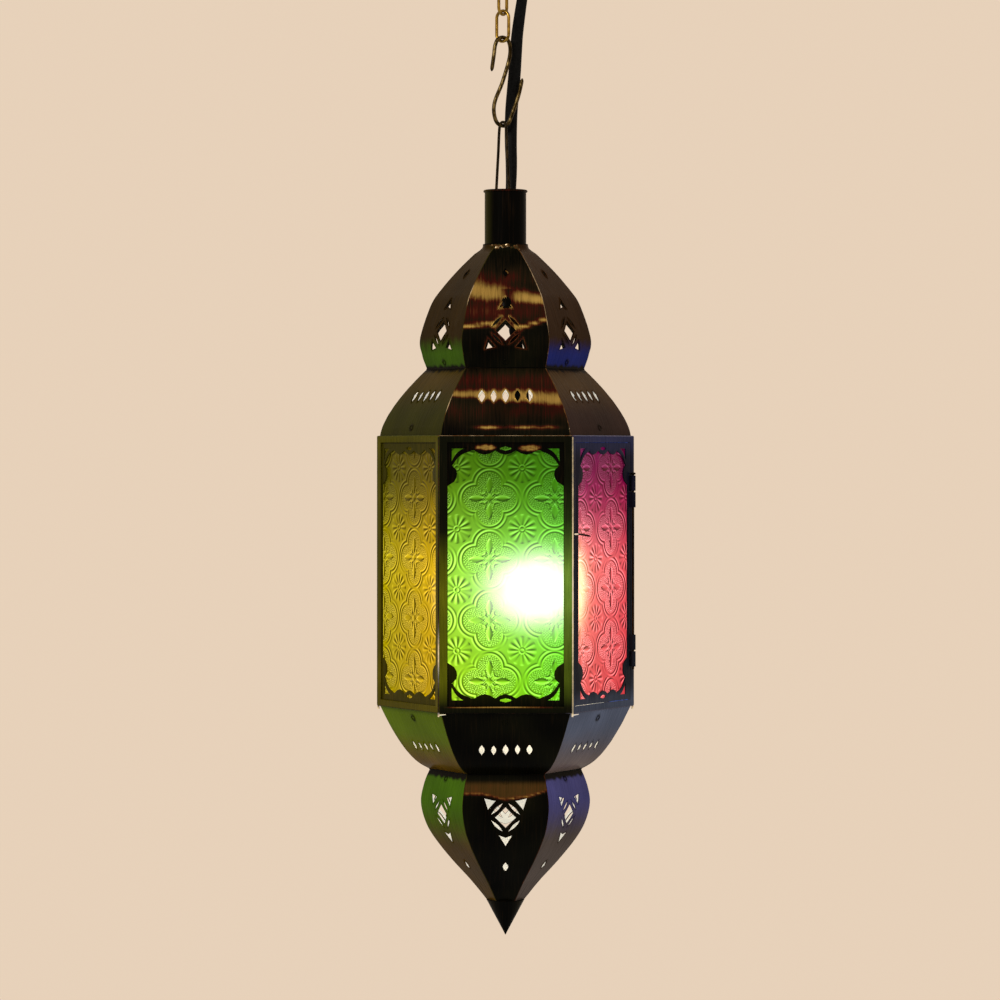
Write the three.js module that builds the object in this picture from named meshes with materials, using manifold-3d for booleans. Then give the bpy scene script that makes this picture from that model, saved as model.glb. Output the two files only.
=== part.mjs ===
// Hanging lantern: a six-sided glazed body between pierced sheet metal tiers, on chain and cord.
// Units are millimetres and +Z is up. The origin lies on the ceiling, above the lantern's axis.
// Inside the lantern, heights are drops below the mouth of its neck tube.

import * as THREE from 'three'
import { mergeVertices } from 'three/addons/utils/BufferGeometryUtils.js'
import Module from 'manifold-3d'

const wasm = await Module()
wasm.setup()

// Driving dimensions: sheet metal and fits
const sheet = 0.8
const gap = 0.3
const seamGap = 0.3

// Driving dimensions: ceiling fitting
const canopyRadius = 46
const canopyDepth = 28
const canopyHoleRadius = 26
const plateThickness = 2
const bossRadius = 5
const bossDepth = 5
const hookWireRadius = 1.5
const hookLoopRadius = 6
const hookDrop = 40
const blockWidth = 16
const blockDepth = 11
const blockHeight = 13
const screwSpacing = 44
const screwHeadRadius = 4

// Driving dimensions: chain, S-hook and bail
const chainOffset = -1.8
const linkWireRadius = 1.05
const linkBendRadius = 4.75
const linkHeight = 20.1
const linkTurn = -33.6
const sHookWireRadius = 1.3
const sHookHeight = 58.5
const sHookTurn = 28
const bailWireRadius = 0.95
const bailBendRadius = 3.2
const bailSpread = 9
const bailRise = 45
const bailTurn = -50
const contactGap = 0.25

// Driving dimensions: cord and its grip
const cordWidth = 8.4
const cordThickness = 6
const gripX = 3.5
const gripY = 4.5
const gripFootRadius = 6
const gripTopRadius = 4.4
const gripLength = 22.8
const spigotRadius = 4
const spigotLength = 4
const innerLeadRadius = 3.2
const innerLeadLength = 130
const innerLeadPlay = 0.8
const holderTilt = 5

// Driving dimensions: neck tube
const neckRadius = 13.75
const neckInsert = 5
const neckRimRadius = 0.9
const hangerPlateDrop = 30
const hangerPlateThickness = 1.5

// Driving dimensions: the lantern's tiers, as drops below the mouth and radii to the corners
const onionTopDrop = 39
const onionHeight = 79.4
const onionBellyRadius = 56.5
const waistRadius = 52
const shoulderHeight = 44
const bodyHeight = 177.6
const bodyRadius = 85
const tierEdgeInset = 2
const bowlHeight = 41.7
const lowerWaistRadius = 50.1
const finialHeight = 86
const finialBellyRadius = 56
const finialEndRadius = 12.5
const tipHeight = 23.4

// Driving dimensions: cage, frets and glass
const postWidth = 5
const railHeight = 4
const ledgeWidth = 4
const glassThickness = 3
const fretEdge = 5.3
const doorStrip = 3.6
const cornerWindowInset = 2.7
const cornerWindowLeg = 8.5
const stripHeight = 9.3
const windowHeight = 8
const scallopRise = 2.7
const scallopPitch = 13.4
const barReach = 15.1
const lobeLow = 18.9
const lobeHigh = 32
const lobeBulge = 5.7
const slitLength = 8.2
const slitWidth = 1.3

// Driving dimensions: door hinge and catch
const pinRadius = 0.8
const knuckleRadius = 1.7
const knuckleLength = 10
const knuckleHeight = 58
const hingeStandoff = 2.1
const catchWireRadius = 0.6
const catchRise = 25.8
const catchInset = 3.2
const catchReach = 17

// Driving dimensions: lampholder and bulb
const holderRadius = 20
const holderCapHeight = 22
const holderBodyHeight = 31
const bulbRadius = 30
const bulbCapRadius = 13.2
const bulbCapHeight = 25
const bulbNeckHeight = 50
const bulbWall = 1

// Driving dimensions: piercings of the tiers, as depths below the top of their own tier
const slotPitch = 7.7
const shoulderSlotWidth = 4.4
const shoulderSlotHeight = 8.4
const shoulderSlotDepth = 18.3
const bowlSlotWidth = 3.9
const bowlSlotHeight = 7.1
const bowlSlotDepth = 24.5
const diamondSize = 7
const petalOffset = 5.6
const petalLength = 11
const petalWidth = 2.4
const onionDiamondDepth = 55.2
const onionDartOffset = 14.2
const onionEyeOffset = 38
const finialDiamondDepth = 27.4
const finialDartOffset = 11.6
const finialEyeOffset = 34

// Smoothness
const panelSteps = 8
const roundSides = 24
const wireSides = 8

// Worked out sizes of the lantern
const cos30 = Math.cos(Math.PI / 6)
const toRadians = Math.PI / 180
const mouthToBailTop = bailRise
const boreRadius = neckRadius - sheet
const onionTopRadius = (neckRadius + gap + 1.5 * sheet) / cos30
const shoulderTopDrop = onionTopDrop + onionHeight + gap
const bodyTopDrop = shoulderTopDrop + shoulderHeight + gap
const bodyMidDrop = bodyTopDrop + bodyHeight / 2
const bowlTopDrop = bodyTopDrop + bodyHeight + gap
const finialTopDrop = bowlTopDrop + bowlHeight + gap
const tipTopDrop = finialTopDrop + finialHeight + gap
const bodyApothem = bodyRadius * cos30
const windowHalfWidth = bodyRadius / 2 - postWidth
const windowHalfHeight = bodyHeight / 2 - railHeight
const tierEdgeRadius = bodyRadius - tierEdgeInset
const catchDrop = bodyMidDrop - catchRise
const shoulderSlotDrop = shoulderTopDrop + shoulderSlotDepth
const bowlSlotDrop = bowlTopDrop + bowlSlotDepth
const onionDiamondDrop = onionTopDrop + onionDiamondDepth
const finialDiamondDrop = finialTopDrop + finialDiamondDepth

// Worked out heights of the hanging parts
const linkPitch = linkHeight - 2 * linkWireRadius - contactGap
const firstLinkTopZ = -hookDrop + hookWireRadius + linkWireRadius + contactGap
const secondLinkTopZ = firstLinkTopZ - linkPitch
const secondLinkBottomZ = secondLinkTopZ - linkHeight
const sHookTopZ = secondLinkBottomZ + linkWireRadius + sHookWireRadius + contactGap
const sHookBottomZ = sHookTopZ - sHookHeight
const bailTopZ = sHookBottomZ + sHookWireRadius + bailWireRadius + contactGap
const mouthZ = bailTopZ - mouthToBailTop

// Solids and meshes
function solid(geometry) {
  const bare = geometry.index ? geometry.toNonIndexed() : geometry.clone()
  bare.deleteAttribute('normal')
  bare.deleteAttribute('uv')
  const merged = mergeVertices(bare, 1e-4)
  return new wasm.Manifold(new wasm.Mesh({
    numProp: 3,
    vertProperties: new Float32Array(merged.attributes.position.array),
    triVerts: new Uint32Array(merged.index.array)
  }))
}

function surface(manifold) {
  const mesh = manifold.getMesh()
  const geometry = new THREE.BufferGeometry()
  geometry.setAttribute('position', new THREE.BufferAttribute(new Float32Array(mesh.vertProperties), 3))
  geometry.setIndex(new THREE.BufferAttribute(new Uint32Array(mesh.triVerts), 1))
  geometry.computeVertexNormals()
  return geometry
}

function cut(body, tools) {
  let result = solid(body)
  for (const tool of tools) {
    result = result.subtract(solid(tool))
  }
  return surface(result)
}

function join(parts) {
  let result = solid(parts[0])
  for (const part of parts.slice(1)) {
    result = result.add(solid(part))
  }
  return surface(result)
}

function piece(name, geometry, colour, roughness, metalness, opacity = 1) {
  const material = new THREE.MeshStandardMaterial({ color: colour, roughness, metalness })
  material.transparent = opacity < 1
  material.opacity = opacity
  const mesh = new THREE.Mesh(geometry, material)
  mesh.name = name
  return mesh
}

// Finishes
const lacquered = (name, geometry) => piece(name, geometry, 0x2a1b10, 0.38, 0.8)
const brassy = (name, geometry) => piece(name, geometry, 0x9c7a2e, 0.35, 0.9)
const darkWire = (name, geometry) => piece(name, geometry, 0x3a2f1c, 0.45, 0.8)
const rubbery = (name, geometry) => piece(name, geometry, 0x0c0c0c, 0.7, 0)
const moulded = (name, geometry) => piece(name, geometry, 0x14130f, 0.4, 0)
const coloured = (name, geometry, tint) => piece(name, geometry, tint, 0.15, 0, 0.6)

// Shapes that many pieces share
function cylinder(radius, zTop, zBottom, sides = roundSides) {
  const geometry = new THREE.CylinderGeometry(radius, radius, zTop - zBottom, sides)
  geometry.rotateX(Math.PI / 2)
  geometry.translate(0, 0, (zTop + zBottom) / 2)
  return geometry
}

function box(width, depth, height, x, y, z) {
  const geometry = new THREE.BoxGeometry(width, depth, height)
  geometry.translate(x, y, z)
  return geometry
}

function hexPrism(cornerRadius, zTop, zBottom) {
  const height = zTop - zBottom
  const geometry = new THREE.CylinderGeometry(cornerRadius, cornerRadius, height, 6, 1, false, Math.PI / 2)
  geometry.rotateX(Math.PI / 2)
  geometry.translate(0, 0, (zTop + zBottom) / 2)
  return geometry
}

function lathe(profile, sides = roundSides) {
  const points = profile.map(([radius, z]) => new THREE.Vector2(radius, z))
  const runsDown = THREE.ShapeUtils.area(points) < 0
  const geometry = new THREE.LatheGeometry(runsDown ? points.reverse() : points, sides)
  geometry.rotateX(Math.PI / 2)
  return geometry
}

function sectionShape(halfWidth, halfThickness, sides) {
  const shape = new THREE.Shape()
  for (let i = 0; i < sides; i += 1) {
    const angle = 2 * Math.PI * (i + 0.5) / sides
    const x = halfWidth * Math.cos(angle)
    const y = halfThickness * Math.sin(angle)
    if (i === 0) shape.moveTo(x, y)
    else shape.lineTo(x, y)
  }
  shape.closePath()
  return shape
}

// A tube through points: each stretch between two points gets the same number of steps, so that
// bends drawn with close points come out round
function tube(points, radius, stepsEach, halfThickness = radius, sides = wireSides) {
  const vectors = points.map(([x, y, z]) => new THREE.Vector3(x, y, z))
  const path = new THREE.CatmullRomCurve3(vectors, false, 'centripetal')
  path.getUtoTmapping = (share) => share
  return new THREE.ExtrudeGeometry(sectionShape(radius, halfThickness, sides), {
    steps: stepsEach * (points.length - 1),
    bevelEnabled: false,
    extrudePath: path
  })
}

// Wires bent in an upright plane through the hanging line
function uprightWire(planePoints, turn, radius, stepsEach) {
  const across = Math.cos(turn * toRadians)
  const along = Math.sin(turn * toRadians)
  return tube(planePoints.map(([s, z]) => [s * across, s * along, z]), radius, stepsEach)
}

// Ceiling fitting
function mountingPlate() {
  const plate = cylinder(canopyRadius - sheet - gap, 0, -plateThickness)
  const boss = cylinder(bossRadius, -plateThickness / 2, -plateThickness - bossDepth, 12)
  boss.translate(chainOffset, 0, 0)
  const bossFoot = -plateThickness - bossDepth
  const shankHole = cylinder(hookWireRadius + gap, -plateThickness - gap, bossFoot - 1, 12)
  shankHole.translate(chainOffset, 0, 0)
  const holes = [-1, 1].map((side) => {
    const hole = cylinder(screwHeadRadius / 2 + gap, 1, -plateThickness - 1, 12)
    hole.translate(0, side * screwSpacing / 2, 0)
    return hole
  })
  return cut(join([plate, boss]), [shankHole, ...holes])
}

function canopyShell() {
  const wall = sheet
  const outer = new THREE.EllipseCurve(
    canopyHoleRadius, 0, canopyRadius - canopyHoleRadius, canopyDepth, 0, -Math.PI / 2, true)
  const inner = new THREE.EllipseCurve(
    canopyHoleRadius, 0, canopyRadius - canopyHoleRadius - wall, canopyDepth - wall, -Math.PI / 2, 0, false)
  const outside = outer.getPoints(7).map((point) => [point.x, point.y])
  const inside = inner.getPoints(7).map((point) => [point.x, point.y])
  return lathe([...outside, ...inside, outside[0]], roundSides)
}

function ceilingHookWire() {
  const r = hookLoopRadius
  const loopZ = -hookDrop + r
  const shankFoot = loopZ + 1.7 * r
  return uprightWire([
    [0, -plateThickness - 2 * gap],
    [0, (shankFoot - plateThickness) / 2],
    [0, shankFoot],
    [-0.9 * r, loopZ + 0.85 * r],
    [-r, loopZ],
    [-0.7 * r, loopZ - 0.72 * r],
    [0, loopZ - r],
    [0.7 * r, loopZ - 0.72 * r],
    [r, loopZ],
    [0.9 * r, loopZ + 0.6 * r]
  ], linkTurn, hookWireRadius, 3)
}

function mountScrew() {
  const head = cylinder(screwHeadRadius, -plateThickness - gap, -plateThickness - gap - 2, 12)
  const shank = cylinder(screwHeadRadius / 2, -gap, -plateThickness - gap - 1, 12)
  return join([head, shank])
}

function terminalBlock() {
  const top = -plateThickness - gap
  const body = box(blockWidth, blockDepth, blockHeight, 0, 0, top - blockHeight / 2)
  const ways = [-1, 1].map((side) => {
    const way = cylinder(1.6, top - blockHeight / 2, top - blockHeight - 1, 8)
    way.translate(side * blockWidth / 4, 0, 0)
    return way
  })
  return cut(body, ways)
}

// Chain link: a ring drawn out into a long link
function chainLink() {
  const rows = 18
  const geometry = new THREE.TorusGeometry(linkBendRadius, linkWireRadius, wireSides, rows)
  geometry.rotateZ(Math.PI / rows)
  const stretch = linkHeight / 2 - linkBendRadius
  const position = geometry.attributes.position
  for (let i = 0; i < position.count; i += 1) {
    const y = position.getY(i)
    position.setY(i, y + Math.sign(y) * stretch)
  }
  geometry.rotateX(Math.PI / 2)
  return surface(solid(geometry))
}

function sHookWire() {
  const h = sHookHeight
  return uprightWire([
    [-0.142 * h, -0.388 * h],
    [-0.112 * h, -0.2 * h],
    [-0.095 * h, -0.09 * h],
    [-0.06 * h, -0.022 * h],
    [0, 0],
    [0.06 * h, -0.022 * h],
    [0.09 * h, -0.08 * h],
    [0.093 * h, -0.19 * h],
    [0, -0.497 * h],
    [-0.105 * h, -0.747 * h],
    [-0.11 * h, -0.87 * h],
    [-0.07 * h, -0.97 * h],
    [0, -h],
    [0.065 * h, -0.975 * h],
    [0.123 * h, -0.856 * h],
    [0.205 * h, -0.641 * h],
    [0.253 * h, -0.453 * h]
  ], sHookTurn, sHookWireRadius, 2)
}

function bailWire() {
  const footZ = mouthZ - hangerPlateDrop + 1.5 * gap - bailTopZ
  const bend = bailBendRadius
  const arch = [150, 120, 90, 60, 30].map((degrees) => [
    bend * Math.cos(degrees * toRadians),
    bend * Math.sin(degrees * toRadians) - bend
  ])
  const legs = [0.25, 0.5, 0.75, 1].map((share) => [
    THREE.MathUtils.lerp(bend, bailSpread, share),
    THREE.MathUtils.lerp(-bend, footZ, share)
  ])
  const left = legs.map(([s, z]) => [-s, z]).reverse()
  return uprightWire([...left, ...arch, ...legs], bailTurn, bailWireRadius, 2)
}

// Free stretch of the mains cord, from inside the canopy to the grip in the neck
const cordPoints = [
  [13.6, 4.6, -23],
  [13.2, 5.2, -30],
  [12.3, 6.1, -38],
  [10.8, 7.3, -48],
  [9.2, 8.2, -59],
  [7.8, 9.0, -70],
  [6.9, 9.8, -82],
  [6.1, 10.4, -95],
  [5.0, 10.5, -108],
  [4.0, 9.5, -120],
  [3.6, 8.0, -132],
  [3.6, 6.5, -143],
  [3.9, 5.4, -154],
  [3.9, 4.8, -164],
  [3.6, 4.5, -173],
  [3.5, 4.5, -180]
]

function cordSolid() {
  return tube(cordPoints, cordWidth / 2, 1, cordThickness / 2, 10)
}

function cordGrip() {
  const foot = -hangerPlateDrop + gap
  return lathe([
    [0, foot + gripLength],
    [gripTopRadius, foot + gripLength],
    [gripTopRadius, foot + gripLength / 3],
    [gripFootRadius, foot + 3],
    [gripFootRadius, foot],
    [spigotRadius, foot],
    [spigotRadius, foot - gap - hangerPlateThickness - spigotLength],
    [0, foot - gap - hangerPlateThickness - spigotLength]
  ], 16)
}

// Neck tube with its rolled rim, and the plate inside that the bail is soldered to
function neckTube() {
  const length = onionTopDrop + neckInsert
  return lathe([
    [boreRadius, 0],
    [neckRadius, 0],
    [neckRadius + neckRimRadius, -neckRimRadius],
    [neckRadius, -2 * neckRimRadius],
    [neckRadius, -length],
    [boreRadius, -length],
    [boreRadius, 0]
  ], roundSides)
}

function hangerPlate() {
  const disc = cylinder(boreRadius - gap, -hangerPlateDrop, -hangerPlateDrop - hangerPlateThickness)
  const hole = cylinder(spigotRadius + gap, 0, -hangerPlateDrop - hangerPlateThickness - 1, 16)
  hole.translate(gripX, gripY, 0)
  return cut(disc, [hole])
}

// Outline of a tier as points of drop and corner radius, top to bottom
function tierPoints(controlPoints) {
  const vectors = controlPoints.map(([drop, radius]) => new THREE.Vector2(drop, radius))
  const curve = new THREE.SplineCurve(vectors)
  return curve.getPoints(panelSteps).map((point) => ({ drop: point.x, apothem: point.y * cos30 }))
}

function onionOutline() {
  const reach = onionBellyRadius - onionTopRadius
  return tierPoints([
    [onionTopDrop, onionTopRadius],
    [onionTopDrop + 0.175 * onionHeight, onionTopRadius + 0.35 * reach],
    [onionTopDrop + 0.341 * onionHeight, onionTopRadius + 0.644 * reach],
    [onionTopDrop + 0.475 * onionHeight, onionTopRadius + 0.822 * reach],
    [onionTopDrop + 0.742 * onionHeight, onionBellyRadius],
    [onionTopDrop + 0.883 * onionHeight, THREE.MathUtils.lerp(waistRadius, onionBellyRadius, 0.71)],
    [onionTopDrop + onionHeight, waistRadius]
  ])
}

function shoulderOutline() {
  const points = []
  for (let i = 0; i <= panelSteps; i += 1) {
    const share = i / panelSteps
    points.push({
      drop: shoulderTopDrop + share * shoulderHeight,
      apothem: cos30 * THREE.MathUtils.lerp(waistRadius, tierEdgeRadius, 1 - (1 - share) ** 1.5)
    })
  }
  return points
}

function bowlOutline() {
  const reach = tierEdgeRadius - lowerWaistRadius
  return tierPoints([
    [bowlTopDrop, tierEdgeRadius],
    [bowlTopDrop + 0.34 * bowlHeight, lowerWaistRadius + 0.78 * reach],
    [bowlTopDrop + 0.66 * bowlHeight, lowerWaistRadius + 0.52 * reach],
    [bowlTopDrop + 0.88 * bowlHeight, lowerWaistRadius + 0.26 * reach],
    [bowlTopDrop + bowlHeight, lowerWaistRadius]
  ])
}

function finialOutline() {
  const reach = finialBellyRadius - finialEndRadius
  return tierPoints([
    [finialTopDrop, lowerWaistRadius],
    [finialTopDrop + 0.11 * finialHeight, THREE.MathUtils.lerp(lowerWaistRadius, finialBellyRadius, 0.64)],
    [finialTopDrop + 0.253 * finialHeight, finialBellyRadius],
    [finialTopDrop + 0.41 * finialHeight, finialEndRadius + 0.924 * reach],
    [finialTopDrop + 0.545 * finialHeight, finialEndRadius + 0.765 * reach],
    [finialTopDrop + 0.703 * finialHeight, finialEndRadius + 0.51 * reach],
    [finialTopDrop + 0.853 * finialHeight, finialEndRadius + 0.237 * reach],
    [finialTopDrop + finialHeight, finialEndRadius]
  ])
}

// The outline given its sheet thickness, measured square to the sheet
function innerPoint(outline, i) {
  const before = outline[Math.max(i - 1, 0)]
  const after = outline[Math.min(i + 1, outline.length - 1)]
  const length = Math.hypot(after.drop - before.drop, after.apothem - before.apothem)
  const outward = (after.drop - before.drop) / length
  const upward = (after.apothem - before.apothem) / length
  const isEnd = i === 0 || i === outline.length - 1
  if (isEnd) {
    return { drop: outline[i].drop, apothem: outline[i].apothem - sheet / Math.max(outward, 0.65) }
  }
  return { drop: outline[i].drop + sheet * upward, apothem: outline[i].apothem - sheet * outward }
}

// Front panel of a tier: the bent sheet, cut to the seams, then pierced
function tierPanel(outline, piercings) {
  const shape = new THREE.Shape()
  const inner = outline.map((point, i) => innerPoint(outline, i)).reverse()
  const loop = [...outline, ...inner]
  shape.moveTo(loop[0].apothem, -loop[0].drop)
  for (const point of loop.slice(1)) {
    shape.lineTo(point.apothem, -point.drop)
  }
  shape.closePath()
  const blank = new THREE.ExtrudeGeometry(shape, { depth: 2 * bodyRadius, bevelEnabled: false })
  blank.translate(0, 0, -bodyRadius)
  const turn = new THREE.Matrix4().makeBasis(
    new THREE.Vector3(0, -1, 0), new THREE.Vector3(0, 0, 1), new THREE.Vector3(-1, 0, 0))
  blank.applyMatrix4(turn)
  let panel = solid(blank).intersect(solid(sectorPrism()))
  for (const piercing of piercings) {
    panel = panel.subtract(solid(punch(piercing)))
  }
  return surface(panel)
}

function sectorPrism() {
  const reach = 2 * bodyRadius
  const halfSpan = reach * Math.tan(Math.PI / 6)
  const shape = new THREE.Shape()
  shape.moveTo(0, -seamGap)
  shape.lineTo(-halfSpan, -seamGap - reach)
  shape.lineTo(halfSpan, -seamGap - reach)
  shape.closePath()
  const depth = tipTopDrop + tipHeight
  const geometry = new THREE.ExtrudeGeometry(shape, { depth, bevelEnabled: false })
  geometry.translate(0, 0, -depth)
  return geometry
}

function punch(points) {
  const shape = new THREE.Shape(points.map(([x, z]) => new THREE.Vector2(x, z)))
  const geometry = new THREE.ExtrudeGeometry(shape, { depth: 1.5 * bodyRadius, bevelEnabled: false })
  geometry.rotateX(Math.PI / 2)
  return geometry
}

// Piercing outlines on the front of a panel
function marquise(x, z, width, height, turn = 0) {
  const points = []
  for (const [side, start] of [[1, 0], [-1, 1]]) {
    for (let i = 0; i < 3; i += 1) {
      const share = start + (start ? -i : i) / 3
      const across = side * width / 2 * Math.sin(Math.PI * share)
      const along = height * (0.5 - share)
      points.push([
        x + across * Math.cos(turn) + along * Math.sin(turn),
        z - across * Math.sin(turn) + along * Math.cos(turn)
      ])
    }
  }
  return points
}

function slotRow(drop, width, height) {
  return [-2, -1, 0, 1, 2].map((step) => marquise(step * slotPitch, -drop, width, height))
}

function lattice(centreDrop, dartOffset, eyeOffset, up) {
  const z = -centreDrop
  const d = diamondSize
  const petals = []
  for (const sx of [-1, 1]) {
    for (const sz of [-1, 1]) {
      const turn = -sx * sz * Math.PI / 4
      petals.push(marquise(sx * petalOffset, z + sz * petalOffset, petalWidth, petalLength, turn))
    }
  }
  const corners = [-1, 1].map((side) => [
    [side * 2 * d, z - up * 1.8 * d],
    [side * 0.88 * d, z - up * 1.56 * d],
    [side * 1.64 * d, z - up * 0.7 * d]
  ])
  const dart = [
    [-0.67 * d, z + up * dartOffset],
    [0, z + up * (dartOffset + 0.25 * d)],
    [0.67 * d, z + up * dartOffset],
    [0, z + up * (dartOffset + 1.15 * d)]
  ]
  const diamond = [[d, z], [0, z + d], [-d, z], [0, z - d]]
  const eye = marquise(0, z + up * eyeOffset, 0.56 * d, 0.92 * d)
  return [diamond, ...petals, ...corners, dart, eye]
}

// Cage: hexagonal wall with six windows and folded ledges, soldered from one strip
function cageBlank() {
  const top = -bodyTopDrop
  const bottom = top - bodyHeight
  const innerRadius = bodyRadius - sheet / cos30
  const hollow = hexPrism(innerRadius, top - sheet, bottom + sheet)
  const through = hexPrism(innerRadius - ledgeWidth / cos30, top + 1, bottom - 1)
  return solid(hexPrism(bodyRadius, top, bottom)).subtract(solid(hollow)).subtract(solid(through))
}

function cage() {
  let body = cageBlank()
  const width = 2 * windowHalfWidth
  const window = box(width, 2 * ledgeWidth, 2 * windowHalfHeight, 0, -bodyApothem, -bodyMidDrop)
  for (let k = 0; k < 6; k += 1) {
    body = body.subtract(solid(window.clone().rotateZ(k * Math.PI / 3)))
  }
  const doorTurn = Math.PI / 3
  for (const side of [-1, 1]) {
    const height = -bodyMidDrop + side * knuckleHeight
    body = body.add(solid(knuckleBlank(height, 1).rotateZ(doorTurn)))
  }
  body = body.subtract(solid(hingeBore().rotateZ(doorTurn)))
  const catchHole = punch(marquise(catchTipX(), -catchDrop, 4 * catchWireRadius, 4 * catchWireRadius))
  return surface(body.subtract(solid(catchHole.rotateZ(doorTurn))))
}

// Hinge: the axis stands proud of the face, in the slit between post and door
const hingeX = windowHalfWidth - gap / 2
const hingeY = -bodyApothem - hingeStandoff

function knuckleBlank(z, side) {
  const ring = cylinder(knuckleRadius, z + knuckleLength / 2, z - knuckleLength / 2, 12)
  ring.translate(hingeX, hingeY, 0)
  const webWidth = knuckleRadius - gap / 2
  const webX = hingeX + side * (gap / 2 + webWidth / 2)
  const webDepth = hingeStandoff + sheet / 2
  const web = box(webWidth, webDepth, knuckleLength, webX, hingeY + webDepth / 2, z)
  return join([ring, web])
}

function hingeBore() {
  const bore = cylinder(pinRadius + gap, -bodyTopDrop, -bodyTopDrop - bodyHeight, 12)
  bore.translate(hingeX, hingeY, 0)
  return bore
}

function hingePin() {
  const reach = knuckleHeight + knuckleLength / 2 + 2
  const top = -bodyMidDrop + reach
  const wire = cylinder(pinRadius, top, -bodyMidDrop - reach, 10)
  const head = cylinder(knuckleRadius, top, top - 1.4, 10)
  const pin = join([wire, head])
  pin.translate(hingeX, hingeY, 0)
  return pin
}

// Fret: a sheet with a shaped opening, four corner windows and two slits
function fretQuarter(side, top) {
  const points = []
  const lobeSteps = 5
  for (let i = 0; i <= lobeSteps; i += 1) {
    const share = i / lobeSteps
    const bulge = lobeBulge * Math.sin(Math.PI * share) ** 0.6
    const x = side - bulge - cornerWindowInset * share ** 3
    points.push([x, THREE.MathUtils.lerp(top - lobeHigh, top - lobeLow, share)])
  }
  points.push([side - barReach, top - stripHeight])
  const firstFoot = 1.5 * scallopPitch
  const scallopSteps = 4
  for (let i = 0; i <= 1.5 * scallopSteps; i += 1) {
    const share = i / scallopSteps
    const wave = Math.abs(Math.sin(Math.PI * share))
    points.push([firstFoot - share * scallopPitch, top - stripHeight - scallopRise * wave])
  }
  return points.filter(([x], i) => i <= lobeSteps + 1 || x < side - barReach - 0.5)
}

function mirrored(points, sx, sz) {
  const copy = points.map(([x, z]) => [sx * x, sz * z])
  return sx * sz < 0 ? copy.reverse() : copy
}

function fretOpening(side, top) {
  const quarter = fretQuarter(side, top)
  const open = quarter.slice(0, -1)
  const middle = quarter[quarter.length - 1]
  return [
    ...open, middle, ...mirrored(open, -1, 1),
    ...mirrored(open, -1, -1), [middle[0], -middle[1]], ...mirrored(open, 1, -1)
  ]
}

function fretPlate(halfWidth, halfHeight, side) {
  const top = bodyHeight / 2
  const shape = new THREE.Shape([
    new THREE.Vector2(-halfWidth, -halfHeight),
    new THREE.Vector2(halfWidth, -halfHeight),
    new THREE.Vector2(halfWidth, halfHeight),
    new THREE.Vector2(-halfWidth, halfHeight)
  ])
  const windowEdge = side - cornerWindowInset
  const cornerWindow = [
    [windowEdge, top - windowHeight],
    [windowEdge - cornerWindowLeg, top - windowHeight],
    [windowEdge, top - windowHeight - cornerWindowLeg]
  ]
  const openings = [fretOpening(side, top)]
  for (const sz of [-1, 1]) {
    for (const sx of [-1, 1]) {
      openings.push(mirrored(cornerWindow, sx, sz))
    }
    openings.push(marquise(0, sz * (top - windowHeight), slitLength, 2 * slitWidth))
  }
  for (const opening of openings) {
    shape.holes.push(new THREE.Path(opening.map(([x, z]) => new THREE.Vector2(x, z))))
  }
  const plate = new THREE.ExtrudeGeometry(shape, { depth: sheet, bevelEnabled: false })
  plate.rotateX(Math.PI / 2)
  plate.translate(0, sheet, -bodyMidDrop)
  return plate
}

function fixedFret() {
  const front = bodyApothem - sheet - gap
  const halfWidth = (front - sheet) * Math.tan(Math.PI / 6) - gap
  const halfHeight = bodyHeight / 2 - sheet - gap
  const plate = fretPlate(halfWidth, halfHeight, bodyRadius / 2 - fretEdge)
  plate.translate(0, -front, 0)
  return plate
}

function fixedGlass() {
  const front = bodyApothem - 2 * sheet - 2 * gap
  const halfWidth = (front - glassThickness) * Math.tan(Math.PI / 6) - gap
  const height = bodyHeight - 2 * sheet - 2 * gap
  return box(2 * halfWidth, glassThickness, height, 0, -front + glassThickness / 2, -bodyMidDrop)
}

function doorFrame() {
  const halfWidth = windowHalfWidth - gap
  const plate = fretPlate(halfWidth, windowHalfHeight - gap, halfWidth - doorStrip)
  plate.translate(0, -bodyApothem, 0)
  const parts = [plate]
  for (const side of [-1, 1]) {
    parts.push(knuckleBlank(-bodyMidDrop + side * (knuckleHeight - knuckleLength - 1), -1))
  }
  return cut(join(parts), [hingeBore()])
}

function doorGlass() {
  const front = bodyApothem - sheet - gap
  const width = 2 * (windowHalfWidth - 1)
  const height = 2 * (windowHalfHeight - 1)
  return box(width, glassThickness, height, 0, -front + glassThickness / 2, -bodyMidDrop)
}

// Catch: a springy wire on the door whose bent tip snaps into a hole in the post
function catchTipX() {
  return -bodyRadius / 2 + catchInset
}

function catchWire() {
  const x = catchTipX()
  const z = -catchDrop
  const face = -bodyApothem
  const r = catchWireRadius
  return tube([
    [x, face + 1.3, z],
    [x, face + 0.4, z],
    [x + 0.1, face - r, z],
    [x + 1, face - r - gap, z],
    [x + 3, face - r - gap, z],
    [x + 0.6 * catchReach, face - r - gap, z - 0.6],
    [x + catchReach, face - r - 2, z - 1.6]
  ], r, 3)
}

// Lampholder and bulb, measured down their own axis from the pivot under the grip
const holderTop = -innerLeadPlay - innerLeadLength
const bulbSeat = holderTop - gap - holderCapHeight - gap
const capTip = bulbSeat - 3 - gap
const bulbNeckTop = capTip - bulbCapHeight - gap

function innerLead() {
  return cylinder(innerLeadRadius, -innerLeadPlay, holderTop, 10)
}

function holderCap() {
  const top = holderTop - gap
  const foot = top - holderCapHeight
  return lathe([
    [0, top],
    [0.36 * holderRadius, top],
    [0.42 * holderRadius, top - 0.3 * holderCapHeight],
    [0.78 * holderRadius, top - 0.5 * holderCapHeight],
    [0.94 * holderRadius, top - 0.75 * holderCapHeight],
    [0.96 * holderRadius, foot],
    [0, foot]
  ])
}

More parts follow.
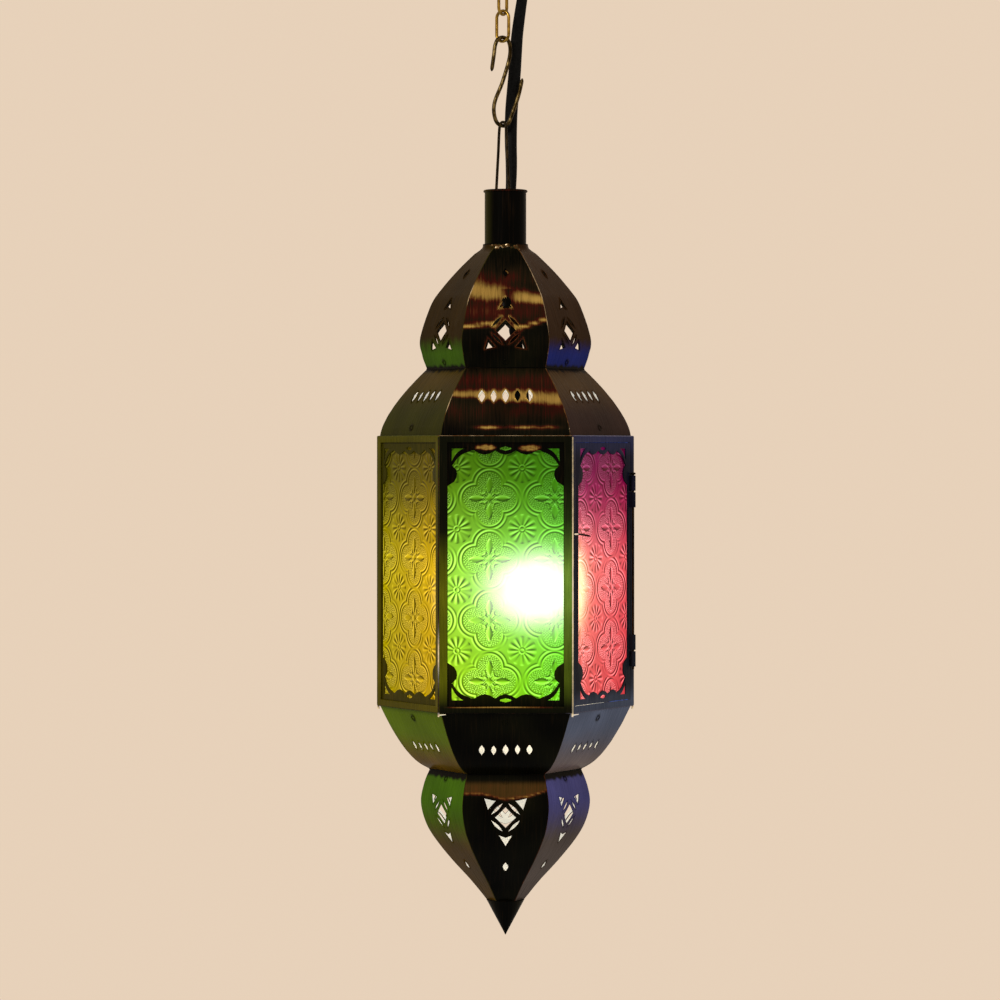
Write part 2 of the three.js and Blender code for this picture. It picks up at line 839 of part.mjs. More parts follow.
function holderBody() {
  const bore = bulbCapRadius + 2 * gap
  const foot = bulbSeat - holderBodyHeight
  return lathe([
    [0, bulbSeat],
    [0.96 * holderRadius, bulbSeat],
    [holderRadius, bulbSeat - 4],
    [holderRadius, foot],
    [bore, foot],
    [bore, bulbSeat - 3],
    [0, bulbSeat - 3]
  ])
}

function bulbCap() {
  const foot = capTip - bulbCapHeight
  return lathe([
    [0, capTip],
    [0.35 * bulbCapRadius, capTip],
    [0.8 * bulbCapRadius, capTip - 0.15 * bulbCapHeight],
    [bulbCapRadius, capTip - 0.25 * bulbCapHeight],
    [0.93 * bulbCapRadius, capTip - 0.45 * bulbCapHeight],
    [bulbCapRadius, capTip - 0.65 * bulbCapHeight],
    [bulbCapRadius, foot],
    [0, foot]
  ])
}

// Bulb envelope: a thin shell, open at the neck where the cap closes it
function bulbGlass() {
  const centre = bulbNeckTop - bulbNeckHeight
  const neckEnd = bulbNeckTop - 0.08 * bulbNeckHeight
  const neckFlare = bulbNeckTop - 0.22 * bulbNeckHeight
  const outside = [
    [bulbCapRadius, bulbNeckTop],
    [bulbCapRadius, neckEnd],
    [1.15 * bulbCapRadius, neckFlare]
  ]
  const inside = outside.map(([radius, z]) => [radius - bulbWall, z])
  for (let degrees = 135; degrees >= 0; degrees -= 22.5) {
    const across = degrees > 0 ? Math.sin(degrees * toRadians) : 0
    const along = Math.cos(degrees * toRadians)
    outside.push([bulbRadius * across, centre - bulbRadius * along])
    inside.push([(bulbRadius - bulbWall) * across, centre - (bulbRadius - bulbWall) * along])
  }
  return lathe([...outside, ...inside.reverse(), outside[0]])
}

// Tip: a hollow cone soldered under the finial
function tipCone() {
  const top = -tipTopDrop
  const slope = tipHeight / finialEndRadius
  return lathe([
    [finialEndRadius, top],
    [0, top - tipHeight],
    [0, top - tipHeight + 2 * sheet * slope],
    [finialEndRadius - 2 * sheet, top],
    [finialEndRadius, top]
  ])
}

// Assembly: ceiling fitting
const lantern = new THREE.Group()
lantern.add(lacquered('mounting_plate', mountingPlate()))
lantern.add(lacquered('canopy', canopyShell()))
const block = moulded('terminal_block', terminalBlock())
block.position.set(cordPoints[0][0] + 2, cordPoints[0][1], 0)
lantern.add(block)
for (const [name, side] of [['mount_screw_front', -1], ['mount_screw_back', 1]]) {
  const screw = brassy(name, mountScrew())
  screw.position.y = side * screwSpacing / 2
  lantern.add(screw)
}

// Assembly: hook, chain, S-hook and cord, hung a little left of the lantern's axis
const hangingLine = new THREE.Group()
hangingLine.position.x = chainOffset
hangingLine.add(brassy('ceiling_hook', ceilingHookWire()))
const linkTops = [['link_1', firstLinkTopZ, linkTurn + 90], ['link_2', secondLinkTopZ, linkTurn]]
for (const [name, topZ, turn] of linkTops) {
  const link = brassy(name, chainLink())
  link.position.z = topZ - linkHeight / 2
  link.rotation.z = turn * toRadians
  hangingLine.add(link)
}
const sHook = brassy('s_hook', sHookWire())
sHook.position.z = sHookTopZ
hangingLine.add(sHook)
const bail = darkWire('bail', bailWire())
bail.position.z = bailTopZ
hangingLine.add(bail)
lantern.add(hangingLine)
lantern.add(rubbery('supply_cord', cordSolid()))

// Assembly: neck, with everything in the lantern placed from the mouth of its tube
const body = new THREE.Group()
body.position.z = mouthZ
body.add(lacquered('neck_tube', neckTube()))
body.add(lacquered('hanger_plate', hangerPlate()))
const grip = moulded('cord_grip', cordGrip())
grip.position.set(gripX, gripY, 0)
body.add(grip)

// Assembly: pierced tiers, six panels each
const faceNames = ['front', 'front_right', 'back_right', 'back', 'back_left', 'front_left']
const tiers = [
  ['onion_panel',
    tierPanel(onionOutline(), lattice(onionDiamondDrop, onionDartOffset, onionEyeOffset, 1))],
  ['shoulder_panel',
    tierPanel(shoulderOutline(), slotRow(shoulderSlotDrop, shoulderSlotWidth, shoulderSlotHeight))],
  ['bowl_panel', tierPanel(bowlOutline(), slotRow(bowlSlotDrop, bowlSlotWidth, bowlSlotHeight))],
  ['finial_panel',
    tierPanel(finialOutline(), lattice(finialDiamondDrop, finialDartOffset, finialEyeOffset, -1))]
]
for (const [name, geometry] of tiers) {
  faceNames.forEach((face, k) => {
    const panel = lacquered(`${name}_${face}`, geometry)
    panel.rotation.z = k * Math.PI / 3
    body.add(panel)
  })
}
body.add(lacquered('tip_cone', tipCone()))

// Assembly: glazed body, with the door on its front right face
body.add(lacquered('cage', cage()))
const tints = {
  front: 0x5fc81e, back_right: 0x2452d8, back: 0xe8861c, back_left: 0x4fb52a, front_left: 0xd8b010
}
faceNames.forEach((face, k) => {
  const side = new THREE.Group()
  side.rotation.z = k * Math.PI / 3
  if (face === 'front_right') {
    side.add(lacquered('door_frame', doorFrame()))
    side.add(coloured('door_glass', doorGlass(), 0xd81c50))
    side.add(darkWire('door_pin', hingePin()))
    side.add(brassy('door_catch', catchWire()))
  } else {
    side.add(lacquered(`fret_${face}`, fixedFret()))
    side.add(coloured(`glass_${face}`, fixedGlass(), tints[face]))
  }
  body.add(side)
})

// Assembly: lampholder on its lead, leaning a little to the right as the stiff lead sets it
const holder = new THREE.Group()
holder.position.set(gripX, gripY, -hangerPlateDrop - hangerPlateThickness - spigotLength)
holder.rotation.y = -holderTilt * toRadians
holder.add(rubbery('inner_lead', innerLead()))
holder.add(moulded('holder_cap', holderCap()))
holder.add(moulded('holder_body', holderBody()))
holder.add(brassy('bulb_cap', bulbCap()))
holder.add(piece('bulb_glass', bulbGlass(), 0xfff4d8, 0.3, 0))
body.add(holder)
lantern.add(body)

export default lantern
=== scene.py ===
import math
import random

import bmesh
import bpy
import numpy as np
from mathutils import Matrix, Vector, noise


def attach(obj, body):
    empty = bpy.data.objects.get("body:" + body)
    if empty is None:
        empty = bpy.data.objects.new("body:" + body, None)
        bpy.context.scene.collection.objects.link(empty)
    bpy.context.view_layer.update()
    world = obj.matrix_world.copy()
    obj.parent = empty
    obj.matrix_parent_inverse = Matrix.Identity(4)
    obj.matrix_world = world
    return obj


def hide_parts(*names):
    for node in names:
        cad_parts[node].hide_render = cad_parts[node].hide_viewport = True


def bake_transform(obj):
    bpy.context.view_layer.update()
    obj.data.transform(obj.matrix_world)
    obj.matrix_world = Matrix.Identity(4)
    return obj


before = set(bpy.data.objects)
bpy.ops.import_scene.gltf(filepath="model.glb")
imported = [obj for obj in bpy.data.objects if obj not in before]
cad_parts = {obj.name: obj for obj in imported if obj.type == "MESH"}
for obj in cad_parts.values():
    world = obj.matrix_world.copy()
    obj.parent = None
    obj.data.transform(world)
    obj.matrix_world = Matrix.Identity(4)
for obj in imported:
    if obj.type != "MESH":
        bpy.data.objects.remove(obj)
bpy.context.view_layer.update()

# Camera
# The photograph was taken level with the pane's upper half, from about 2.4 m, on a long lens.
camera_data = bpy.data.cameras.new("camera")
camera_data.sensor_width = 36
camera_data.lens = 130.6
camera_data.shift_y = -0.05
camera = bpy.data.objects.new("camera", camera_data)
camera.location = (-0.0036, -2.4, -0.3454)
camera.rotation_euler = (math.radians(90), 0, 0)
bpy.context.collection.objects.link(camera)
bpy.context.scene.camera = camera


# Supply cord
# A flat twin mains cord in a black sheath, a little twisted. The sheath ends just under the
# terminal block, and below it is clamped in the grip inside the neck. It carries no load.
mm = 0.001
cord_route = [
    (0.0138, 0.0045, -0.0193),
    (0.0136, 0.0046, -0.0230),
    (0.0132, 0.0052, -0.0300),
    (0.0123, 0.0061, -0.0380),
    (0.0108, 0.0073, -0.0480),
    (0.0092, 0.0082, -0.0590),
    (0.0078, 0.0090, -0.0700),
    (0.0069, 0.0098, -0.0820),
    (0.0061, 0.0104, -0.0950),
    (0.0050, 0.0105, -0.1080),
    (0.0040, 0.0095, -0.1200),
    (0.0036, 0.0080, -0.1320),
    (0.0036, 0.0065, -0.1430),
    (0.0039, 0.0054, -0.1540),
    (0.0039, 0.0048, -0.1640),
    (0.0036, 0.0045, -0.1730),
    (0.0035, 0.0045, -0.1799),
]
cord_half_width = 4.2 * mm
cord_half_thickness = 3.0 * mm
cord_twist = 0.42


def smooth_path(points, steps):
    """Points on a centripetal Catmull-Rom curve, so many steps from each point to the next."""
    given = [np.array(p, float) for p in points]
    given = [2 * given[0] - given[1]] + given + [2 * given[-1] - given[-2]]
    path = []
    for i in range(1, len(given) - 2):
        p0, p1, p2, p3 = given[i - 1 : i + 3]
        d0, d1, d2 = (np.linalg.norm(b - a) ** 0.5 for a, b in ((p0, p1), (p1, p2), (p2, p3)))
        t1 = ((p1 - p0) / d0 - (p2 - p0) / (d0 + d1) + (p2 - p1) / d1) * d1
        t2 = ((p2 - p1) / d1 - (p3 - p1) / (d1 + d2) + (p3 - p2) / d2) * d1
        for k in range(steps):
            s = k / steps
            path.append(
                (2 * s**3 - 3 * s**2 + 1) * p1
                + (s**3 - 2 * s**2 + s) * t1
                + (3 * s**2 - 2 * s**3) * p2
                + (s**3 - s**2) * t2
            )
    path.append(given[-2])
    return np.array(path)


def made(name, vertices, faces, *materials, sharp=35):
    """A mesh object, smooth except where it turns by more than the given angle."""
    mesh = bpy.data.meshes.new(name)
    mesh.from_pydata([tuple(v) for v in vertices], [], [tuple(f) for f in faces])
    mesh.validate()
    smoothed(mesh, sharp)
    piece = bpy.data.objects.new(name, mesh)
    bpy.context.collection.objects.link(piece)
    for material in materials:
        mesh.materials.append(material)
    return piece


def smoothed(mesh, sharp):
    mesh.polygons.foreach_set("use_smooth", [True] * len(mesh.polygons))
    mesh.set_sharp_from_angle(angle=math.radians(sharp))
    mesh.update()


def swept(path, section, twist=0.0, closed=False, girth=None, start=0.0):
    """Vertices and faces of a section carried along a path, capped unless the path is closed."""
    count = len(path)
    tangents = np.roll(path, -1, 0) - np.roll(path, 1, 0)
    if not closed:
        tangents[0] = path[1] - path[0]
        tangents[-1] = path[-1] - path[-2]
    tangents /= np.linalg.norm(tangents, axis=1)[:, None]
    side = np.cross(tangents[0], (0.31, 0.95, 0.05))
    vertices = []
    for i in range(count):
        side -= tangents[i] * np.dot(side, tangents[i])
        side /= np.linalg.norm(side)
        other = np.cross(tangents[i], side)
        turn = 2 * math.pi * (twist * i / (count - 1) + start)
        swell = 1 if girth is None else girth(i / (count - 1))
        for a, b in section:
            across = swell * (a * math.cos(turn) - b * math.sin(turn))
            along = swell * (a * math.sin(turn) + b * math.cos(turn))
            vertices.append(path[i] + across * side + along * other)
    n = len(section)
    faces = []
    for i in range(count if closed else count - 1):
        low, high = i * n, (i + 1) % count * n
        for j in range(n):
            k = (j + 1) % n
            faces.append((low + j, low + k, high + k, high + j))
    if not closed:
        faces.append(tuple(range(n - 1, -1, -1)))
        faces.append(tuple(range((count - 1) * n, count * n)))
    return vertices, faces


def wired(node, inputs):
    """Sets a shader node's inputs to values, or links them to other nodes' outputs."""
    for socket, value in inputs.items():
        if isinstance(value, bpy.types.NodeSocket):
            node.id_data.links.new(value, node.inputs[socket])
        else:
            node.inputs[socket].default_value = value


def added(nodes, kind, inputs, **settings):
    node = nodes.new("ShaderNode" + kind)
    for setting, value in settings.items():
        setattr(node, setting, value)
    wired(node, inputs)
    return node


def shader_of(material):
    return material.node_tree.nodes["Principled BSDF"]


def finish(name, colours, metallic, roughness, grain, bump, coat=0.0, detail=6.0):
    """A material whose colour wanders between the given ones, its grain in scales per metre."""
    material = bpy.data.materials.new(name)
    material.use_nodes = True
    nodes = material.node_tree.nodes
    place = added(nodes, "TexCoord", {})
    grained = added(nodes, "Mapping", {"Vector": place.outputs["Object"], "Scale": grain})
    clouds = {
        "Vector": grained.outputs["Vector"], "Scale": 1.0, "Detail": detail, "Roughness": 0.62
    }
    mottle = added(nodes, "TexNoise", clouds).outputs["Fac"]
    ramp = added(nodes, "ValToRGB", {"Fac": mottle}, name="colours")
    steps = ramp.color_ramp.elements
    while len(steps) < len(colours):
        steps.new(0.5)
    for i, colour in enumerate(colours):
        steps[i].position = 0.3 + 0.4 * i / max(len(colours) - 1, 1)
        steps[i].color = (*colour, 1)
    between = {"From Min": 0.3, "From Max": 0.7, "To Min": roughness[0], "To Max": roughness[1]}
    polish = added(nodes, "MapRange", {"Value": mottle, **between})
    relief = added(nodes, "Bump", {"Height": mottle, "Distance": bump, "Strength": 0.7})
    surface = {"Base Color": ramp.outputs["Color"], "Roughness": polish.outputs["Result"]}
    surface.update({"Normal": relief.outputs["Normal"], "Metallic": metallic})
    wired(shader_of(material), {**surface, "Coat Weight": coat, "Coat Roughness": 0.25})
    return material


def placed(piece, body, slot, *nodes):
    """The piece rides on its body and stands for the nodes, which are hidden; the slot is not used.
    """
    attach(piece, body)
    if nodes:
        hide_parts(*nodes)
    return piece


def cord_section():
    section = []
    for i in range(24):
        angle = 2 * math.pi * i / 24
        across = cord_half_width * math.cos(angle)
        waist = 1 - 0.13 * math.exp(-((across / (1.3 * mm)) ** 2))
        section.append((across, cord_half_thickness * math.sin(angle) * waist))
    return section


black_sheath = finish(
    "black_sheath",
    [(0.002, 0.002, 0.002), (0.007, 0.0065, 0.006)],
    0,
    (0.42, 0.6),
    (700, 700, 700),
    0.00008,
)
wired(shader_of(black_sheath), {"Specular IOR Level": 0.03})
cord_path = smooth_path(cord_route, 8)
cord = made("flat_cord", *swept(cord_path, cord_section(), cord_twist, start=-0.29), black_sheath)
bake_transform(cord)
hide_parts("supply_cord")


# Mounting plate, screws and terminal block
# A pressed steel plate screwed flat to the ceiling, with a boss for the hook's shank. The block
# that joins the cord to the mains wires is clipped under it. The canopy hides all of them.
def refined(node, name, bevel, *materials, segments=2, sharp=35, limit=25):
    """A copy of a CAD solid with its flat faces whole again and its edges rolled over."""
    bm = bmesh.new()
    bm.from_mesh(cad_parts[node].data)
    bmesh.ops.remove_doubles(bm, verts=bm.verts, dist=2e-6)
    bmesh.ops.dissolve_limit(bm, angle_limit=math.radians(0.6), verts=bm.verts, edges=bm.edges)
    bare = bpy.data.meshes.new(name)
    bm.to_mesh(bare)
    bm.free()
    for layer in ("custom_normal", "sharp_face", "sharp_edge"):
        if layer in bare.attributes:
            bare.attributes.remove(bare.attributes[layer])
    bare.materials.clear()
    piece = bpy.data.objects.new(name, bare)
    bpy.context.collection.objects.link(piece)
    rolled = piece.modifiers.new("rolled_edges", "BEVEL")
    rolled.width = bevel
    rolled.segments = segments
    rolled.limit_method = "ANGLE"
    rolled.angle_limit = math.radians(limit)
    return settled(piece, sharp, *materials)


def settled(piece, sharp, *materials):
    """The piece with its modifiers worked into its mesh."""
    evaluated = piece.evaluated_get(bpy.context.evaluated_depsgraph_get())
    mesh = bpy.data.meshes.new_from_object(evaluated)
    mesh.name = piece.name
    piece.modifiers.clear()
    piece.data = mesh
    mesh.materials.clear()
    for material in materials:
        mesh.materials.append(material)
    smoothed(mesh, sharp)
    return piece


lacquer_dark = (0.0009, 0.0008, 0.0005)
lacquer_brown = (0.008, 0.0040, 0.0015)
lacquer_gold = (0.17, 0.105, 0.030)
plate_lacquer = finish(
    "plate_lacquer",
    [lacquer_dark, lacquer_brown, lacquer_brown, (0.06, 0.036, 0.013)],
    0.85,
    (0.25, 0.45),
    (120, 120, 120),
    0.00006,
    coat=0.3,
)
raw_brass = finish(
    "raw_brass",
    [(0.10, 0.060, 0.016), (0.30, 0.20, 0.062), (0.50, 0.36, 0.13)],
    1.0,
    (0.22, 0.42),
    (420, 420, 420),
    0.00005,
)
black_moulding = finish(
    "black_moulding",
    [(0.010, 0.009, 0.008), (0.022, 0.020, 0.017)],
    0,
    (0.28, 0.42),
    (260, 260, 260),
    0.00004,
    coat=0.2,
)
placed(
    refined("mounting_plate", "ceiling_plate", 0.35 * mm, plate_lacquer),
    "ceiling_fitting",
    "lacquered_metal",
    "mounting_plate",
)
placed(
    refined("terminal_block", "wire_block", 0.6 * mm, black_moulding, segments=3),
    "ceiling_fitting",
    "black_plastic",
    "terminal_block",
)


def revolved(profile, sides=96):
    """Vertices and faces of a closed profile of radius and height, turned about the Z axis."""
    vertices, faces, rings = [], [], []
    for radius, height in profile:
        if radius < 1e-7:
            rings.append([len(vertices)] * sides)
            vertices.append((0, 0, height))
            continue
        rings.append(list(range(len(vertices), len(vertices) + sides)))
        for i in range(sides):
            angle = 2 * math.pi * i / sides
            vertices.append((radius * math.cos(angle), radius * math.sin(angle), height))
    pairs = list(zip(rings, rings[1:]))
    if profile[0][0] > 1e-7:
        pairs.append((rings[-1], rings[0]))
    for upper, lower in pairs:
        for i in range(sides):
            j = (i + 1) % sides
            corners = [upper[i], upper[j], lower[j], lower[i]]
            kept = [c for k, c in enumerate(corners) if c not in corners[:k]]
            if len(kept) > 2:
                faces.append(kept)
    return vertices, faces


def outward(piece):
    """Turns the faces of a closed mesh to point out."""
    bm = bmesh.new()
    bm.from_mesh(piece.data)
    bmesh.ops.recalc_face_normals(bm, faces=bm.faces)
    bm.to_mesh(piece.data)
    bm.free()
    return piece


def moved(vertices, where):
    return [where @ Vector(v) for v in vertices]


screw_spacing = 44 * mm
for node, side in (("mount_screw_front", -1), ("mount_screw_back", 1)):
    seat = -2.3 * mm
    dome = [
        (4.0 * mm * math.sin(a), seat - 0.4 * mm - 1.6 * mm * math.cos(a))
        for a in np.linspace(0, math.pi / 2, 9)
    ]
    shank = [(4.0 * mm, seat), (2.0 * mm, seat), (2.0 * mm, -0.3 * mm), (0, -0.3 * mm)]
    vertices, faces = revolved(dome + shank, 32)
    shift = Matrix.Translation((0, side * screw_spacing / 2, 0))
    screw = outward(made(node + "_pan_head", moved(vertices, shift), faces, raw_brass))
    corners = [(x * mm, y * mm, z * mm) for x in (-0.5, 0.5) for y in (-5, 5) for z in (-6, -3.2)]
    sides = [(0, 1, 3, 2), (4, 6, 7, 5), (0, 4, 5, 1), (2, 3, 7, 6), (0, 2, 6, 4), (1, 5, 7, 3)]
    slot_tool = made("slot_tool", moved(corners, shift), sides)
    cut = screw.modifiers.new("slot", "BOOLEAN")
    cut.operation = "DIFFERENCE"
    cut.object = outward(slot_tool)
    settled(screw, 35, raw_brass)
    bpy.data.objects.remove(slot_tool)
    placed(screw, "ceiling_fitting", "aged_brass", node)


# Canopy
# A spun sheet metal cup under the ceiling, open below where chain and cord come out, with the
# edge of that opening rolled in for stiffness.
canopy_radius = 46 * mm
canopy_depth = 28 * mm
canopy_hole = 26 * mm
canopy_wall = 0.8 * mm


def canopy_profile():
    reach = canopy_radius - canopy_hole
    outside, inside = [], []
    for angle in np.linspace(0, math.pi / 2, 25):
        outside.append((canopy_hole + reach * math.cos(angle), -canopy_depth * math.sin(angle)))
        across = canopy_hole + (reach - canopy_wall) * math.cos(angle)
        inside.append((across, -(canopy_depth - canopy_wall) * math.sin(angle)))
    lip = []
    for angle in np.linspace(-math.pi / 2, -3 * math.pi / 2, 8):
        across = canopy_hole - 0.5 * mm + 0.55 * mm * math.cos(angle)
        lip.append((across, -canopy_depth + 0.5 * mm + 0.6 * mm * math.sin(angle)))
    return outside[:-1] + lip + inside[::-1][1:]


canopy_lacquer = finish(
    "canopy_lacquer",
    [lacquer_dark, lacquer_dark, lacquer_brown, lacquer_gold],
    0.9,
    (0.24, 0.42),
    (30, 30, 420),
    0.00005,
    coat=0.3,
)
canopy = outward(made("spun_canopy", *revolved(canopy_profile()), canopy_lacquer))
placed(canopy, "ceiling_fitting", "lacquered_metal", "canopy")


# Ceiling hook, chain links, S-hook and bail
# All four are bent from drawn wire: the hook is riveted in the plate's boss, each link is closed
# with a butt joint, and the bail's two legs are soldered to the plate inside the neck.
chain_offset = -1.8 * mm
link_turn = -33.6
hook_radius = 6 * mm
hook_drop = 40 * mm


def circle(radius, sides=14):
    return [
        (radius * math.cos(2 * math.pi * i / sides), radius * math.sin(2 * math.pi * i / sides))
        for i in range(sides)
    ]


def upright(plane_points, turn, top):
    """Points of an upright plane through the hanging line, as points in the room."""
    across, along = math.cos(math.radians(turn)), math.sin(math.radians(turn))
    return [(chain_offset + s * across, s * along, top + z) for s, z in plane_points]


def cut_ends(share):
    return 0.35 + 0.65 * min(1.0, min(share, 1 - share) / 0.012) ** 0.5


loop_height = -hook_drop + hook_radius
r = hook_radius
hook_points = [
    (0, -2.6 * mm),
    (0, (loop_height + 1.7 * r - 2 * mm) / 2),
    (0, loop_height + 1.7 * r),
    (-0.9 * r, loop_height + 0.85 * r),
    (-r, loop_height),
    (-0.7 * r, loop_height - 0.72 * r),
    (0, loop_height - r),
    (0.7 * r, loop_height - 0.72 * r),
    (r, loop_height),
    (0.9 * r, loop_height + 0.6 * r),
]
hook_path = smooth_path(upright(hook_points, link_turn, 0), 9)
hook = made("wire_hook", *swept(hook_path, circle(1.5 * mm), girth=cut_ends), raw_brass)
placed(hook, "ceiling_fitting", "aged_brass", "ceiling_hook")

link_brass = finish(
    "link_brass",
    [(0.05, 0.030, 0.004), (0.27, 0.165, 0.026), (0.50, 0.33, 0.070)],
    1.0,
    (0.2, 0.4),
    (500, 500, 260),
    0.00005,
)


def link_path(bend, height, turn, middle):
    """The centreline of one link: two half rounds joined by straight sides."""
    stretch = height / 2 - bend
    points = []
    for i in range(64):
        angle = 2 * math.pi * (i + 0.5) / 64
        up = bend * math.sin(angle) + math.copysign(stretch, math.sin(angle))
        points.append((bend * math.cos(angle), up))
    return np.array(upright(points, turn, middle))


def butt_joint(share):
    """Girth of the wire: pinched where its ends meet, and a little swollen round that."""
    pinch = 0.22 * math.exp(-(((share - 0.985) / 0.006) ** 2))
    return 1 - pinch + 0.07 * math.exp(-(((share - 0.985) / 0.02) ** 2))


link_height = 20.1 * mm
link_bend = 4.75 * mm
link_wire = 1.05 * mm
links = (
    ("link_1", "upper_link", link_turn + 90, -37.2 * mm),
    ("link_2", "lower_link", link_turn, -54.95 * mm),
)
for node, body, turn, top in links:
    path = link_path(link_bend, link_height, turn, top - link_height / 2)
    link = made(
        node + "_wire", *swept(path, circle(link_wire), closed=True, girth=butt_joint), link_brass
    )
    placed(link, body, "aged_brass", node)

s_hook_top = -72.45 * mm
s_hook_height = 58.5 * mm
s_hook_shape = [
    (-0.142, -0.388),
    (-0.112, -0.2),
    (-0.095, -0.09),
    (-0.06, -0.022),
    (0, 0),
    (0.06, -0.022),
    (0.09, -0.08),
    (0.093, -0.19),
    (0, -0.497),
    (-0.105, -0.747),
    (-0.11, -0.87),
    (-0.07, -0.97),
    (0, -1),
    (0.065, -0.975),
    (0.123, -0.856),
    (0.205, -0.641),
    (0.253, -0.453),
]
s_hook_brass = finish(
    "s_hook_brass",
    [(0.003, 0.002, 0.001), (0.026, 0.017, 0.005), (0.19, 0.14, 0.055)],
    1.0,
    (0.25, 0.45),
    (380, 380, 200),
    0.00008,
)
s_hook_points = [(s * s_hook_height, z * s_hook_height) for s, z in s_hook_shape]
s_hook_path = smooth_path(upright(s_hook_points, 28, s_hook_top), 8)
s_hook = made("bent_s_hook", *swept(s_hook_path, circle(1.3 * mm), girth=cut_ends), s_hook_brass)
placed(s_hook, "s_hook", "aged_brass", "s_hook")

bail_top = -128.45 * mm
mouth = bail_top - 45 * mm
plate_drop = 30 * mm
bail_bend = 3.2 * mm
bail_spread = 9 * mm
bail_foot = mouth - plate_drop + 0.45 * mm - bail_top
bail_arch = [
    (bail_bend * math.cos(math.radians(d)), bail_bend * math.sin(math.radians(d)) - bail_bend)
    for d in (150, 120, 90, 60, 30)
]
bail_leg = [
    (bail_bend + (bail_spread - bail_bend) * t, -bail_bend + (bail_foot + bail_bend) * t)
    for t in (0.25, 0.5, 0.75, 1)
]
bail_points = [(-s, z) for s, z in reversed(bail_leg)] + bail_arch + bail_leg
bail_path = smooth_path(upright(bail_points, -50, bail_top), 8)
dark_steel = finish(
    "dark_steel",
    [(0.003, 0.002, 0.001), (0.010, 0.007, 0.003), (0.045, 0.030, 0.012)],
    0.95,
    (0.3, 0.5),
    (420, 420, 160),
    0.00008,
)
bail = made("bail_wire", *swept(bail_path, circle(0.95 * mm)), dark_steel)
placed(bail, "lantern", "dark_wire", "bail")


# Neck tube, hanger plate and cord grip
# A rolled and soldered tube with a turned rim, closed inside by the plate that bail and cord grip
# hold on to. The grip is moulded, ribbed and tapered, and clamps the cord.
neck_radius = 13.75 * mm
sheet = 0.8 * mm
neck_length = 44 * mm
rim = 0.9 * mm


def lantern_at(drop):
    """A height in the room from a drop below the neck's mouth."""
    return mouth - drop


def lacquered(name, streaks=(1500, 60, 45), gold=(0.42, 0.285, 0.075), roughness=(0.2, 0.4)):
    """Antique lacquer over brushed brass: black, then dark red and brown, then gold.

    The mesh stores at each place how far it runs towards gold, for wear and for painted highlights
    and reflections, and a tint that is mostly painted light."""
    material = finish(name, [lacquer_dark] * 6, 0.0, roughness, streaks, 0.00004, detail=4)
    nodes = material.node_tree.nodes
    wear_and_highlight_value = added(nodes, "Attribute", {}, attribute_name="wear_and_highlight").outputs["Fac"]
    brushed = nodes["Noise Texture"].outputs["Fac"]
    streaked = added(nodes, "Math", {0: brushed, 1: 0.62, 2: wear_and_highlight_value}, operation="MULTIPLY_ADD")
    wear_and_highlight_level = added(nodes, "Math", {0: streaked.outputs[0], 1: 0.31}, operation="SUBTRACT").outputs[0]
    ramp = nodes["colours"]
    dark_red, brown = (0.034, 0.0020, 0.0015), (0.10, 0.042, 0.010)
    shades = (lacquer_dark, lacquer_brown, dark_red, brown, tuple(0.6 * c for c in gold), gold)
    for step, position, shade in zip(
        ramp.color_ramp.elements, (0.05, 0.22, 0.40, 0.55, 0.74, 1.0), shades
    ):
        step.position = position
        step.color = (*shade, 1)
    wired(ramp, {"Fac": wear_and_highlight_level})
    # Metallic rises where the stored wear and painted highlights run high.
    bare = added(nodes, "MapRange", {"Value": wear_and_highlight_level, "From Min": 0.46, "From Max": 0.64})
    # The tint read here is mostly painted light from the panes and the room, with a little plain
    # tint.
    tint_and_painted_light = added(nodes, "Attribute", {}, attribute_name="tint_and_painted_light").outputs["Color"]
    cloudy = added(nodes, "MapRange", {"Value": brushed, "To Min": 0.55, "To Max": 1.45})
    terms = {0: tint_and_painted_light, 1: cloudy.outputs["Result"], 2: ramp.outputs["Color"]}
    tinted = added(nodes, "VectorMath", terms, operation="MULTIPLY_ADD")
    surface = {"Base Color": tinted.outputs["Vector"], "Metallic": bare.outputs["Result"]}
    wired(shader_of(material), {**surface, "Specular IOR Level": 0.02})
    return material


def wander(x, y, z, scale, seed=0.0):
    """Smooth noise between about -1 and 1 at a place in metres."""
    return noise.noise(Vector((x * scale + seed, y * scale - seed, z * scale + 0.5 * seed)))


def places(mesh):
    """All vertices of a mesh as one array."""
    flat = np.empty(len(mesh.vertices) * 3)
    mesh.vertices.foreach_get("co", flat)
    return flat.reshape(-1, 3)


def surface_of(piece):
    """A piece's vertices, and how far each is across and below the neck's mouth, in millimetres."""
    spots = places(piece.data)
    return spots, spots[:, 0] / mm, (mouth - spots[:, 2]) / mm


def wander_over(across, along, scale, seed):
    """Smooth noise at many places of a surface, in millimetres across and along it."""
    return np.array(
        [noise.noise(Vector((a * scale, b * scale, seed))) for a, b in zip(across, along)]
    )


def painted(mesh, name, colours):
    """Stores a colour on each vertex of a mesh."""
    layer = mesh.attributes.new(name, "FLOAT_COLOR", "POINT")
    with_alpha = np.concatenate([colours, np.ones((len(colours), 1))], 1)
    layer.data.foreach_set("color", with_alpha.ravel())


def finished_by_place(piece, wear_and_highlight, tint_and_painted_light=None):
    """Stores on each vertex its wear and painted highlight, and its tint and painted light."""
    layer = piece.data.attributes.new("wear_and_highlight", "FLOAT", "POINT")
    layer.data.foreach_set("value", np.clip(wear_and_highlight, 0, 1))
    if tint_and_painted_light is not None:
        painted(piece.data, "tint_and_painted_light", np.clip(tint_and_painted_light, 0, 1))


def bump_at(value, centre, width):
    """A smooth hump of height one round a value."""
    return np.exp(-(((value - centre) / width) ** 2))


